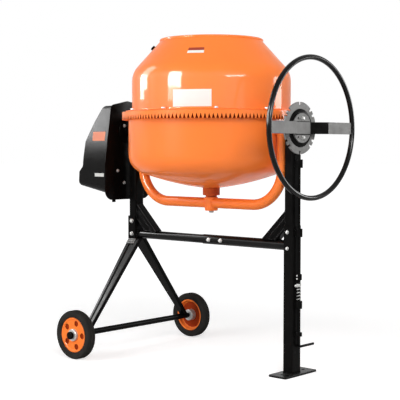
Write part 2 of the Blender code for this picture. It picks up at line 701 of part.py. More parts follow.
def build_yoke(orange):
    """Make the bent tube arms with their bosses, and the hub between them."""
    arms = (("yoke_left_arm", YOKE_LEFT_X, LEFT_BOSS_DIAMETER, JOURNAL_DIAMETER),
            ("yoke_right_arm", YOKE_RIGHT_X, RIGHT_BOSS_DIAMETER, RIGHT_SHAFT_DIAMETER))
    for name, x, boss, shaft in arms:
        path = [(px, py, pz - TRUNNION_Z) for px, py, pz in yoke_path(x)]
        spot = at(0.0, 0.0, TRUNNION_Z)
        arm = add_piece(name, swept(path, YOKE_DIAMETER / 2, YOKE_SIDES), spot, orange)
        knob = cylinder(boss / 2, x - BOSS_LENGTH / 2, x + BOSS_LENGTH / 2)
        shape_with(arm, add_helper(name + "_boss", knob, spot, TO_X), "UNION")
        bore = cylinder(shaft / 2 + FIT, x - BOSS_LENGTH, x + BOSS_LENGTH)
        shape_with(arm, add_helper(name + "_bore", bore, spot, TO_X), "DIFFERENCE")
        notch = cylinder(HUB_DIAMETER / 2 + FIT, YOKE_Z - HUB_DIAMETER, YOKE_Z + HUB_DIAMETER)
        shape_with(arm, add_helper(name + "_notch", notch, at(0.0)), "DIFFERENCE")
    hub = tube(SPINDLE_DIAMETER / 2 + FIT, HUB_DIAMETER / 2, HUB_LOW_Z - TRUNNION_Z, HUB_TOP_Z - TRUNNION_Z)
    add_piece("yoke_hub", hub, at(0.0, 0.0, TRUNNION_Z), orange)


def build_trunnions(steel):
    """Make the hollow journal on the drive side and the solid shaft on the handwheel side."""
    spot = at(0.0, 0.0, TRUNNION_Z)
    start = PLATE_X + PLATE_THICKNESS + FIT
    journal = tube(SHAFT_DIAMETER / 2 + FIT, JOURNAL_DIAMETER / 2, start, YOKE_LEFT_X + BOSS_LENGTH / 2)
    add_piece("left_trunnion", journal, spot, steel, TO_X)
    shaft = cylinder(RIGHT_SHAFT_DIAMETER / 2, YOKE_RIGHT_X - BOSS_LENGTH / 2, BAR_X - FIT)
    add_piece("right_trunnion", shaft, spot, steel, TO_X)


# Handwheel and tilt lock

def disc_outline():
    """Return the lock disc's edge with its notches, the first one at the bottom."""
    outline = []
    half = math.asin(NOTCH_WIDTH / 2 / DISC_RADIUS)
    floor = DISC_RADIUS - NOTCH_DEPTH
    reach = math.asin(NOTCH_WIDTH / 2 / floor)
    for i, start in enumerate(NOTCH_ANGLES):
        following = NOTCH_ANGLES[(i + 1) % len(NOTCH_ANGLES)]
        first = math.radians(start)
        last = math.radians(following if following > start else following + 360)
        outline += [(first - half, DISC_RADIUS), (first - reach, floor), (first + reach, floor)]
        steps = max(1, round((last - first) / math.radians(9)))
        low, high = first + half, last - half
        outline += [(low + (high - low) * k / steps, DISC_RADIUS) for k in range(steps)]
    return [(radius * math.cos(angle), radius * math.sin(angle)) for angle, radius in outline]


def build_lock_disc(grey, black):
    """Make the notched disc, the plate over it and the handwheel's flange."""
    spot = at(0.0, 0.0, TRUNNION_Z)
    bore = RIGHT_SHAFT_DIAMETER / 2 + FIT
    disc = prism(disc_outline(), DISC_INNER_X, DISC_INNER_X + DISC_THICKNESS, [circle(bore, ROUND)])
    add_piece("notched_disc", disc, spot, grey, TO_X)
    plate = tube(bore, HUB_PLATE_RADIUS, HUB_PLATE_X, HUB_PLATE_X + HUB_PLATE)
    add_piece("hub_plate", plate, spot, black, TO_X)
    flange = tube(bore, HUB_FLANGE_RADIUS, HUB_FLANGE_X, HUB_FLANGE_X + HUB_FLANGE)
    add_piece("hub_flange", flange, spot, grey, TO_X)


def build_handwheel(grey, black):
    """Make the handwheel's ring and the cranked bar across it."""
    spot = at(0.0, 0.0, TRUNNION_Z)
    tube_radius = HANDWHEEL_TUBE / 2
    section = arc((HANDWHEEL_RADIUS, HANDWHEEL_X), tube_radius, 0.0, 2 * math.pi, 8)[:-1]
    add_piece("handwheel_ring", turned(section, HANDWHEEL_STEPS), spot, black, TO_X)
    reach = (HANDWHEEL_RADIUS - tube_radius) * math.cos(math.pi / HANDWHEEL_STEPS)
    end = math.sqrt(reach ** 2 - (BAR_HEIGHT / 2) ** 2) - FIT
    middle = BAR_X + BAR_THICKNESS / 2
    half = BAR_THICKNESS / 2
    slope = math.atan2(HANDWHEEL_X - middle, BAR_BEND - BAR_MIDDLE)
    shift = half * math.tan(slope / 2)
    inner = [(end, HANDWHEEL_X - half), (BAR_BEND + shift, HANDWHEEL_X - half),
             (BAR_MIDDLE + shift, middle - half)]
    outer = [(end, HANDWHEEL_X + half), (BAR_BEND - shift, HANDWHEEL_X + half),
             (BAR_MIDDLE - shift, middle + half)]
    right = inner[::-1]
    outline = [(-y, x) for y, x in inner] + right + outer + [(-y, x) for y, x in reversed(outer)]
    flat = [(x, y) for y, x in outline]
    bm = prism(flat, -BAR_HEIGHT / 2, BAR_HEIGHT / 2)
    add_piece("handwheel_bar", bm, spot, grey)


def guide_outline(face):
    """Return a guide's plan: a block on the post that rounds the rod."""
    nose = GUIDE_HALF_WIDTH
    curve = arc((LOCK_X, 0.0), nose, -math.pi / 2, math.pi / 2, 6)
    return [(face, -nose), *curve, (face, nose)]


def build_lock(black, steel):
    """Make the lock rod with its pedal, its guides, and the spring under its collar."""
    bore = circle(ROD_DIAMETER / 2 + FIT, 12, LOCK_X)
    upright_face = RIGHT_POST_X + POST_WIDTH / 2 + FIT
    stand_face = STAND_FACE_X + FIT
    guides = (("upper_rod_guide", upright_face, UPPER_GUIDE_Z, LONG_GUIDE),
              ("middle_rod_guide", stand_face, MIDDLE_GUIDE_Z, LONG_GUIDE),
              ("spring_seat", stand_face, SEAT_GUIDE_Z, SEAT_GUIDE),
              ("foot_rod_guide", stand_face, FOOT_GUIDE_Z, FOOT_GUIDE))
    for name, face, low, height in guides:
        add_piece(name, prism(guide_outline(face), low, low + height, [bore]), at(0.0), black)
    tip = TRUNNION_Z - DISC_RADIUS - ROD_REST_GAP
    bend = arc((PEDAL_BEND, PEDAL_Z + PEDAL_BEND), PEDAL_BEND, math.pi, 1.5 * math.pi, 5)
    path = [(0.0, 0.0, tip), *((0.0, y, z) for y, z in bend), (0.0, PEDAL_REACH, PEDAL_Z)]
    add_piece("lock_rod", swept(path, ROD_DIAMETER / 2, 12), at(LOCK_X), black)
    low = SEAT_GUIDE_Z + SEAT_GUIDE + SPRING_LENGTH
    collar = tube(ROD_DIAMETER / 2 + FIT, COLLAR_DIAMETER / 2, low, low + COLLAR_HEIGHT, SMALL_ROUND)
    add_piece("lock_collar", collar, at(LOCK_X), steel)
    add_piece("lock_spring", spring_coil(), at(LOCK_X), steel)


def spring_coil():
    """Return the spring as one unbroken wire, its ends straight for one wire's width."""
    half = SPRING_WIRE / 2
    low = SEAT_GUIDE_Z + SEAT_GUIDE + half + FIT
    rise = SPRING_LENGTH - SPRING_WIRE - 2 * FIT
    steps = SPRING_CURLS * SPRING_POINTS
    path = []
    for i in range(steps + 1):
        angle = 2 * math.pi * i / SPRING_POINTS
        spot = (SPRING_RADIUS * math.cos(angle), SPRING_RADIUS * math.sin(angle))
        path.append((*spot, low + rise * i / steps))
    first = Vector(path[0])
    last = Vector(path[-1])
    ahead = (first - Vector(path[1])).normalized() * SPRING_WIRE
    behind = (last - Vector(path[-2])).normalized() * SPRING_WIRE
    ahead.z = 0.0
    behind.z = 0.0
    path.insert(0, tuple(first + ahead))
    path.append(tuple(last + behind))
    gap = rise / SPRING_CURLS - SPRING_WIRE
    print(f"lock_spring: least gap between curls {gap * 1000:.2f} mm")
    return swept(path, half, 6)


# Drum

def bowl_side(offset, steps):
    """Return one side of the bowl's wall, from the floor's rim to the top, moved inwards by offset."""
    slope = math.tan(BOWL_FLOOR_ANGLE)
    middle = BOWL_RADIUS - BOWL_KNUCKLE
    floor = BOWL_FLOOR_Z + slope * (middle - SPINDLE_BOSS_RADIUS)
    centre = (middle, floor + BOWL_KNUCKLE / math.cos(BOWL_FLOOR_ANGLE))
    knuckle = arc(centre, BOWL_KNUCKLE - offset, BOWL_FLOOR_ANGLE - math.pi / 2, 0.0, steps)
    rise = offset / math.cos(BOWL_FLOOR_ANGLE)
    return [(0.0, BOWL_FLOOR_Z + rise), (SPINDLE_BOSS_RADIUS, BOWL_FLOOR_Z + rise), *knuckle]


def build_bowl(orange):
    """Make the drum's lower shell with its bolting flange."""
    inside = bowl_side(BOWL_WALL, KNUCKLE_STEPS // 2)
    under = BOWL_TOP_Z - DRUM_FLANGE
    rim = [(BOWL_RADIUS, under), (DRUM_FLANGE_RADIUS, under), (DRUM_FLANGE_RADIUS, BOWL_TOP_Z),
           (BOWL_RADIUS - BOWL_WALL, BOWL_TOP_Z)]
    outline = bowl_side(0.0, KNUCKLE_STEPS) + rim + inside[::-1]
    add_piece("drum_bowl", turned(outline, DRUM_SIDES), at(0.0), orange)


def cone_side(offset, steps):
    """Return one side of the upper shell, from above its flange to below the mouth."""
    run, rise = CONE_LOW_RADIUS - MOUTH_RADIUS, MOUTH_Z - CONE_LOW_Z
    lean = math.atan2(run, rise)
    corner = CONE_LOW_Z - (CONE_RADIUS - CONE_LOW_RADIUS) / math.tan(lean)
    reach = CONE_SHOULDER * math.tan(lean / 2)
    centre = (CONE_RADIUS - CONE_SHOULDER, corner - reach)
    shoulder = arc(centre, CONE_SHOULDER - offset, 0.0, lean, steps)
    edge = MOUTH_Z - BEAD_RADIUS
    back = edge - MOUTH_Z
    tip = (MOUTH_RADIUS - back * math.tan(lean) - offset / math.cos(lean), edge)
    return [*shoulder, tip]


def build_cone(orange):
    """Make the drum's upper shell: flange, cylinder, slope and the rolled rim of the mouth."""
    outside = cone_side(0.0, SHOULDER_STEPS)
    inside = cone_side(CONE_WALL, SHOULDER_STEPS // 2)
    top = CONE_FOOT_Z + DRUM_FLANGE
    foot = [(CONE_RADIUS - CONE_WALL, CONE_FOOT_Z), (DRUM_FLANGE_RADIUS, CONE_FOOT_Z),
            (DRUM_FLANGE_RADIUS, top), (CONE_RADIUS, top)]
    bead = arc((MOUTH_RADIUS, MOUTH_Z), BEAD_RADIUS, math.radians(-40), math.radians(220), BEAD_STEPS)
    outline = foot + outside + bead + inside[::-1]
    add_piece("drum_cone", turned(outline, DRUM_SIDES), at(0.0), orange)


def build_ring_gear(orange):
    """Make the ring gear: a flat ring with teeth that point down."""
    bm = bmesh.new()
    pitch = 2 * math.pi / GEAR_TEETH
    middle = TRUNNION_Z + PINION_RADIUS
    width = TOOTH_SHARE * pitch * MESH_RADIUS
    root = (width + 2 * (GEAR_ROOT_Z - middle) * math.tan(FLANK_ANGLE)) / 2 / MESH_RADIUS
    tip = (width - 2 * (middle - GEAR_TIP_Z) * math.tan(FLANK_ANGLE)) / 2 / MESH_RADIUS
    walls = []
    for radius in (GEAR_INNER, GEAR_OUTER):
        wall = {"top": [], "root": [], "tip": []}
        for i in range(GEAR_TEETH):
            centre = pitch * (i + 0.5)
            spots = (("top", 0.0, GEAR_TOP_Z), ("root", -root, GEAR_ROOT_Z), ("tip", -tip, GEAR_TIP_Z),
                     ("tip", tip, GEAR_TIP_Z), ("root", root, GEAR_ROOT_Z))
            for level, swing, z in spots:
                spot = (radius * math.cos(centre + swing), radius * math.sin(centre + swing), z)
                wall[level].append(bm.verts.new(spot))
        walls.append(wall)
    inner, outer = walls
    for i in range(GEAR_TEETH):
        after = (i + 1) % GEAR_TEETH
        left, right, following = 2 * i, 2 * i + 1, 2 * after
        bm.faces.new((inner["top"][i], inner["top"][after], outer["top"][after], outer["top"][i]))
        strips = ((("root", left), ("tip", left)), (("tip", left), ("tip", right)),
                  (("tip", right), ("root", right)), (("root", right), ("root", following)))
        for (level, first), (other, second) in strips:
            bm.faces.new((inner[level][first], inner[other][second], outer[other][second], outer[level][first]))
        for wall in walls:
            tops, roots, tips = wall["top"], wall["root"], wall["tip"]
            bm.faces.new((roots[left], tips[left], tips[right], roots[right]))
            bm.faces.new((tops[i], roots[left], roots[right]))
            bm.faces.new((tops[i], roots[right], roots[following], tops[after]))
    add_piece("ring_gear", bm, at(0.0), orange)


def build_spindle(orange, steel):
    """Make the drum's spindle with its boss, and the nut under the yoke's hub."""
    top = BOWL_FLOOR_Z - FIT
    boss = top - SPINDLE_BOSS
    neck = HUB_TOP_Z + FIT
    end = HUB_LOW_Z - FIT
    journal = SPINDLE_DIAMETER / 2
    shape = ((0.0, end), (journal, end), (journal, neck), (SPINDLE_NECK_RADIUS, neck),
             (SPINDLE_NECK_RADIUS, boss), (SPINDLE_BOSS_RADIUS, boss), (SPINDLE_BOSS_RADIUS, top), (0.0, top))
    add_piece("drum_spindle", turned(shape, ROUND), at(0.0), orange)
    across = NUT_WIDTH / math.sqrt(3)
    nut = prism(circle(across, 6), end - FIT - NUT_HEIGHT, end - FIT)
    add_piece("spindle_nut", nut, at(0.0), steel)


def build_blades(orange):
    """Make the two mixing blades, each standing on the bowl's floor and held by its wall."""
    wall = (BOWL_RADIUS - BOWL_WALL) * math.cos(math.pi / DRUM_SIDES) - 2 * FIT
    slope = math.tan(BOWL_FLOOR_ANGLE)
    lift = BOWL_FLOOR_Z + BOWL_WALL / math.cos(BOWL_FLOOR_ANGLE) + 2 * FIT

    def floor(radius):
        """Return the floor's height at a radius."""
        return lift + slope * (radius - SPINDLE_BOSS_RADIUS)

    inner = BLADE_FOOT_RADIUS
    outer = inner + BLADE_WIDTH
    knee = wall - BLADE_KNEE_GAP
    shape = [(inner, floor(inner)), (outer, floor(outer)), (knee, BLADE_KNEE_Z),
             (wall, BLADE_TOP_Z - BLADE_WIDTH), (wall, BLADE_TOP_Z), (wall - BLADE_WIDTH, BLADE_TOP_Z),
             (knee - BLADE_WIDTH, BLADE_KNEE_Z), (inner, floor(inner) + BLADE_FOOT_HEIGHT)]
    upright = Matrix.Rotation(math.radians(90), 4, "X")
    for name, angle in (("front_blade", BLADE_ANGLE), ("rear_blade", BLADE_ANGLE + math.pi)):
        bm = prism(shape, -BLADE_THICKNESS / 2, BLADE_THICKNESS / 2)
        add_piece(name, bm, at(0.0), orange, Matrix.Rotation(angle, 4, "Z") @ upright)


# Drive

def pinion_outline():
    """Return the pinion's toothed edge, with one tooth pointing up at rest."""
    root = PINION_RADIUS - GEAR_ADDENDUM - PINION_ROOT_CLEARANCE
    tip = PINION_RADIUS + PINION_ADDENDUM
    base = PINION_RADIUS * math.cos(FLANK_ANGLE)
    pitch = 2 * math.pi / PINION_TEETH
    rolled = math.tan(FLANK_ANGLE) - FLANK_ANGLE
    at_base = PINION_TOOTH_SHARE * pitch / 2 + rolled
    at_tip = PINION_TIP_SHARE * pitch / 2
    outline = []
    for i in range(PINION_TEETH):
        centre = pitch * i
        flank = [(centre - at_base, root), (centre - at_base, base), (centre - at_tip, tip)]
        outline += flank + [(2 * centre - angle, radius) for angle, radius in reversed(flank)]
    return [(-radius * math.cos(angle), radius * math.sin(angle)) for angle, radius in outline]


def build_pinion(steel, black):
    """Make the pinion, its shaft through the hollow journal, and the large pulley."""
    spot = at(0.0, 0.0, TRUNNION_Z)
    bore = SHAFT_DIAMETER / 2 + FIT
    low, high = -GEAR_OUTER + PINION_SIDE, -GEAR_INNER - PINION_SIDE
    add_piece("pinion_gear", prism(pinion_outline(), low, high, [circle(bore)]), spot, steel, TO_X)
    shaft = cylinder(SHAFT_DIAMETER / 2, SHAFT_OUTER_X, high, SMALL_ROUND)
    add_piece("pinion_shaft", shaft, spot, steel, TO_X)
    half, web, groove = PULLEY_WIDTH / 2, PULLEY_WEB / 2, BELT_WIDTH / 2 + FIT
    rim, seat, hub = LARGE_PULLEY_RADIUS, LARGE_SEAT_RADIUS, PULLEY_HUB_RADIUS
    side = [(bore, -half), (hub, -half), (hub, -web), (seat - PULLEY_FLANGE, -half), (rim, -half),
            (rim, -groove), (seat, -groove)]
    shape = side + [(r, -h) for r, h in reversed(side)]
    pulley = turned([(r, h + BELT_X) for r, h in shape], ROUND)
    add_piece("large_pulley", pulley, spot, black, TO_X)


def belt_loop(extra):
    """Return the belt's path round both pulleys, extra further out than the seats."""
    large = LARGE_SEAT_RADIUS + FIT + extra
    small = SMALL_SEAT_RADIUS + FIT + extra
    span = TRUNNION_Z - MOTOR_Z
    lean = math.asin((large - small) / span)
    upper = arc((0.0, TRUNNION_Z), large, -lean, math.pi + lean, 30)
    lower = arc((0.0, MOTOR_Z), small, math.pi + lean, 2 * math.pi - lean, 10)
    return [(-z, y) for y, z in upper + lower]


def build_motor(black, steel, rubber):
    """Make the motor on its pillars, the small pulley and the belt."""
    spot = at(0.0, 0.0, MOTOR_Z)
    radius = MOTOR_DIAMETER / 2
    outer = MOTOR_INNER_X - MOTOR_LENGTH
    bore = MOTOR_SHAFT_DIAMETER / 2 + 2 * FIT
    pocket = MOTOR_INNER_X - MOTOR_LENGTH / 4
    shape = ((0.0, outer), (radius, outer), (radius, MOTOR_INNER_X), (bore, MOTOR_INNER_X), (bore, pocket),
             (0.0, pocket))
    motor = add_piece("motor", turned(shape, ROUND), spot, black, TO_X)
    for i, (y, z) in enumerate(((-1, -1), (-1, 1), (1, -1), (1, 1))):
        pillar = cylinder(PILLAR_DIAMETER / 2, pocket, PLATE_X - FIT, 8)
        centre = at(0.0, y * PILLAR_Y, MOTOR_Z + z * PILLAR_Z)
        shape_with(motor, add_helper(f"motor_pillar_{i}", pillar, centre, TO_X), "UNION")
    half, groove = PULLEY_WIDTH / 2, BELT_WIDTH / 2 + FIT
    rim, seat, shaft = SMALL_SEAT_RADIUS + PULLEY_FLANGE, SMALL_SEAT_RADIUS, MOTOR_SHAFT_DIAMETER / 2
    side = [(0.0, half), (rim, half), (rim, groove), (seat, groove), (seat, -groove), (rim, -groove),
            (rim, -half), (shaft, -half)]
    end = pocket + FIT - BELT_X
    shape = side + [(shaft, end), (0.0, end)]
    pulley = turned([(r, h + BELT_X) for r, h in shape], SMALL_ROUND)
    add_piece("motor_pulley", pulley, spot, steel, TO_X)
    start = BELT_X - BELT_WIDTH / 2
    belt = prism(belt_loop(BELT_THICKNESS), start, start + BELT_WIDTH, [belt_loop(0.0)])
    add_piece("drive_belt", belt, at(0.0), rubber, TO_X)


# Drive housing

def plate_outline():
    """Return the back plate's edge as (y, z) points, with a small tab under its lower edge."""
    wide, shoulder = PLATE_HALF_WIDTH, PLATE_SHOULDER_HALF
    tab, middle = PLATE_TAB, -PLATE_TAB_Y
    corners = ((-wide, PLATE_LOW_Z, PLATE_CORNER), (middle - tab, PLATE_LOW_Z, 0.0),
               (middle - tab, PLATE_LOW_Z - tab, 0.0), (middle + tab, PLATE_LOW_Z - tab, 0.0),
               (middle + tab, PLATE_LOW_Z, 0.0), (wide, PLATE_LOW_Z, PLATE_CORNER),
               (wide, PLATE_WIDE_Z, 0.0), (shoulder, PLATE_SHOULDER_Z, PLATE_CORNER / 2),
               (0.0, PLATE_TOP_Z, PLATE_CORNER), (-shoulder, PLATE_SHOULDER_Z, PLATE_CORNER / 2),
               (-wide, PLATE_WIDE_Z, 0.0))
    return rounded(corners, 5)


def build_back_plate(black):
    """Make the steel plate that carries the motor and the bearing."""
    outline = [(-z, y) for y, z in plate_outline()]
    hole = circle(SHAFT_DIAMETER / 2 + 4 * FIT, SMALL_ROUND, -TRUNNION_Z)
    bm = prism(outline, PLATE_X, PLATE_X + PLATE_THICKNESS, [hole])
    add_piece("back_plate", bm, at(0.0), black, TO_X)


def cover_depth(z):
    """Return how far the cover stands out from the plate at a height."""
    steps = ((COVER_LOW_Z, COVER_BASE_DEPTH), (COVER_MOTOR_Z, COVER_MOTOR_DEPTH),
             (COVER_STEP_Z, COVER_STEP_DEPTH), (COVER_BELLY_Z, COVER_BELLY_DEPTH),
             (COVER_UPPER_Z, COVER_UPPER_DEPTH), (COVER_TOP_Z, COVER_TOP_DEPTH))
    for (low, first), (high, second) in zip(steps, steps[1:]):
        if z <= high:
            share = (z - low) / (high - low)
            return first + (second - first) * share
    return COVER_TOP_DEPTH


def cover_outline(inset):
    """Return the cover's edge at the plate as (y, z) points, moved inwards by inset."""
    wide = COVER_HALF_WIDTH - inset
    shoulder = COVER_SHOULDER_HALF - inset
    low, top = COVER_LOW_Z + inset, COVER_TOP_Z - inset
    corner = COVER_CORNER - inset
    high = COVER_SHOULDER_Z - inset
    corners = ((-wide, low, corner), (wide, low, corner), (wide, COVER_MOTOR_Z, 0.0),
               (wide, COVER_STEP_Z, 0.0), (wide, PLATE_WIDE_Z, 0.0))
    taper = (shoulder - wide) / (high - PLATE_WIDE_Z)
    levels = (COVER_BELLY_Z, COVER_UPPER_Z)
    right = [(wide + taper * (z - PLATE_WIDE_Z), z, 0.0) for z in levels]
    left = [(-y, z, radius) for y, z, radius in right[::-1]]
    corners += (*right, (shoulder, high, corner / 2), (0.0, top, 0.0), (-shoulder, high, corner / 2), *left)
    corners += ((-wide, PLATE_WIDE_Z, 0.0), (-wide, COVER_STEP_Z, 0.0), (-wide, COVER_MOTOR_Z, 0.0))
    return rounded(corners, 4)


def cover_rings(inset, shorten):
    """Return the cover's rings from the plate outwards, each a list of (depth, y, z) points."""
    base = cover_outline(inset)
    middle = (COVER_LOW_Z + COVER_TOP_Z) / 2
    rings = [[(0.0, y, z) for y, z in base]]
    for shrink, share in ((0.0, 1.0), (0.3, 0.3), (1.0, 0.0)):
        ring = []
        for y, z in base:
            reach = (COVER_LOW_Z + COVER_LIFT_REACH - z) / COVER_LIFT_REACH
            lift = COVER_LIFT * min(1.0, max(0.0, reach))
            inwards = COVER_EDGE * shrink
            ny = y * (1.0 - inwards / COVER_HALF_WIDTH)
            nz = z + lift + inwards * (middle - z) / (middle - COVER_LOW_Z)
            depth = cover_depth(nz) - shorten - COVER_EDGE * share
            ring.append((depth, ny, nz))
        rings.append(ring)
    return rings


def lay_cover(bm, rings):
    """Lay the cover's side rings and its outer face, and return the ring at the plate."""
    laid = [[bm.verts.new((-depth, y, z)) for depth, y, z in ring] for ring in rings]
    for first, second in zip(laid, laid[1:]):
        join_rings(bm, first, second)
    last = laid[-1]
    count = len(last)
    pairs = count // 2
    start = next(i for i in range(count) if last[i].co.y < 0 < last[(i + 1) % count].co.y
                 and last[i].co.z < TRUNNION_Z)
    for k in range(pairs):
        corners = [last[(start - k) % count], last[(start + 1 + k) % count],
                   last[(start + 2 + k) % count], last[(start - k - 1) % count]]
        face = list(dict.fromkeys(corners))
        if len(face) > 2:
            bm.faces.new(face)
    return laid[0]


def build_cover(plastic):
    """Make the hollow drive cover, deepest round the motor, with vent slots in its outer face."""
    bm = bmesh.new()
    outer = lay_cover(bm, cover_rings(0.0, 0.0))
    inner = lay_cover(bm, cover_rings(COVER_WALL, COVER_WALL))
    join_rings(bm, outer, inner)
    cover = add_piece("drive_cover", bm, at(PLATE_X - FIT), plastic)
    for i in range(VENTS):
        z = VENT_LOW_Z + VENT_PITCH * i
        slot = box(4 * COVER_EDGE, VENT_LENGTH, z, z + VENT_HEIGHT)
        depth = cover_depth(z + VENT_HEIGHT / 2)
        shape_with(cover, add_helper(f"vent_{i}", slot, at(PLATE_X - depth)), "DIFFERENCE")


def build_switch(plastic, green, red):
    """Make the switch on the cover's rear side, its two buttons and the power inlet."""
    x = PLATE_X - SWITCH_DEPTH_X
    face = COVER_HALF_WIDTH + FIT
    front = face + SWITCH_THICKNESS
    outline = rectangle(SWITCH_WIDTH, SWITCH_HEIGHT, SWITCH_CORNER)
    spot = at(x, 0.0, SWITCH_Z)
    switch = add_piece("switch_box", prism(outline, face, front), spot, plastic, TO_Y)
    for name, rise, colour in (("start_button", BUTTON_RISE, green), ("stop_button", -BUTTON_RISE, red)):
        centre = at(x, 0.0, SWITCH_Z + rise)
        pocket = cylinder(BUTTON_DIAMETER / 2 + BUTTON_GAP, front - BUTTON_POCKET, front + BUTTON_POCKET, 20)
        shape_with(switch, add_helper(name + "_pocket", pocket, centre, TO_Y), "DIFFERENCE")
        floor = front - BUTTON_POCKET + BUTTON_TRAVEL + 2 * FIT
        button = cylinder(BUTTON_DIAMETER / 2, floor, front + BUTTON_PROUD, 20)
        add_piece(name, button, centre, colour, TO_Y)
    outer = INLET_DIAMETER / 2
    inner = outer - INLET_WALL
    shape = ((0.0, -INLET_FLOOR), (inner, -INLET_FLOOR), (inner, -INLET_LENGTH), (outer, -INLET_LENGTH),
             (outer, 0.0), (0.0, 0.0))
    middle = face + SWITCH_THICKNESS / 2
    spot = at(x, middle, SWITCH_Z - SWITCH_HEIGHT / 2 - FIT)
    add_piece("power_inlet", turned(shape, ROUND), spot, plastic)


def clear_scene():
    """Remove whatever the start-up scene holds."""
    for thing in list(bpy.data.objects):
        bpy.data.objects.remove(thing)


def main():
    """Build every piece of the mixer."""
    clear_scene()
    orange = make_material("orange_paint", (0.90, 0.23, 0.035), 0.30, 0.0, 0.4)
    black = make_material("black_paint", (0.012, 0.012, 0.013), 0.28, 0.0, 0.3)
    grey = make_material("grey_steel", (0.28, 0.28, 0.28), 0.45, 0.7)
    steel = make_material("bright_steel", (0.55, 0.55, 0.56), 0.32, 0.95)
    rubber = make_material("tyre_rubber", (0.035, 0.035, 0.037), 0.75)
    plastic = make_material("black_plastic", (0.03, 0.03, 0.032), 0.38)
    green = make_material("green_plastic", (0.02, 0.30, 0.06), 0.35)
    red = make_material("red_plastic", (0.55, 0.02, 0.02), 0.35)

    build_uprights(black)
    build_crossbars(black)
    build_braces(black)
    build_leg_clamp(black)
    build_legs(black)
    build_axle(black)
    build_wheels(rubber, orange)
    build_stand(black)
    build_bearings(black)
    build_yoke(orange)
    build_trunnions(steel)
    build_lock_disc(grey, black)
    build_handwheel(grey, black)
    build_lock(black, steel)
    build_bowl(orange)
    build_cone(orange)
    build_ring_gear(orange)
    build_spindle(orange, steel)
    build_blades(orange)
    build_pinion(steel, black)
    build_motor(black, steel, rubber)
    build_back_plate(black)
    build_cover(plastic)
    build_switch(plastic, green, red)


main()
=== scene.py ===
"""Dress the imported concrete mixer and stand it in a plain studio.

Metres, +Z up, the floor at z = 0. +X runs along the tilting axis towards the handwheel and the front faces -Y, as
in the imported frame. Sizes called *_x are counted from the drum's axis.
"""

import logging
import math
from dataclasses import dataclass
from enum import Enum
from typing import Any, Callable, Optional, Sequence, Union

import bmesh
import bpy
from mathutils import Matrix, Vector


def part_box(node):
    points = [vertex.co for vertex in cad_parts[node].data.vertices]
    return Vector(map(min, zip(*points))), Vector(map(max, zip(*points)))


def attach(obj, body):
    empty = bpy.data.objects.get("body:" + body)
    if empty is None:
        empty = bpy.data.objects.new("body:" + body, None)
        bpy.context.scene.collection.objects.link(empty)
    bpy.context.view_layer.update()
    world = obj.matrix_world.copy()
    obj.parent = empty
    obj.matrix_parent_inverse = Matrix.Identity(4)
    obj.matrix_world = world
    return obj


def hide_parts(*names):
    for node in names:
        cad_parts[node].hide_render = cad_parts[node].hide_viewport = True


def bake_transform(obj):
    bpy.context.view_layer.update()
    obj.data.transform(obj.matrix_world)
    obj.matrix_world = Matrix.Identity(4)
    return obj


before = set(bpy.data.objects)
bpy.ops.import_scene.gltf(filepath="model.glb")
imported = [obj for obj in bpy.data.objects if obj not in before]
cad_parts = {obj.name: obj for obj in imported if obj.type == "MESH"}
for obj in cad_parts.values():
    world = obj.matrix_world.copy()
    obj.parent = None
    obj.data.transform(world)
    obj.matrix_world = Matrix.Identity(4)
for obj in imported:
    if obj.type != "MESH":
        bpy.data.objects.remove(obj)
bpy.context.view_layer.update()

LOG = logging.getLogger("mixer")

AXIS_X = 0.0803
TRUNNION_Z = 0.9415
FIT = 0.0003
TO_X = Matrix.Rotation(math.radians(90), 4, "Y")
TO_Y = Matrix.Rotation(math.radians(-90), 4, "X")
TURN = 2 * math.pi

Flat = list[tuple[float, float]]
Spot = tuple[float, float, float]
Height = Union[float, Callable[[float, float], float]]


# Finishes


class Relief(Enum):
    """How the surface of a finish is broken up: scale of its grain per metre and depth in metres."""

    ORANGE_PEEL = (260.0, 0.00025)
    ROLLED = (90.0, 0.0004)
    MOULDED = (1400.0, 0.00012)
    RUBBERY = (900.0, 0.0003)
    PRINTED = (700.0, 0.00003)


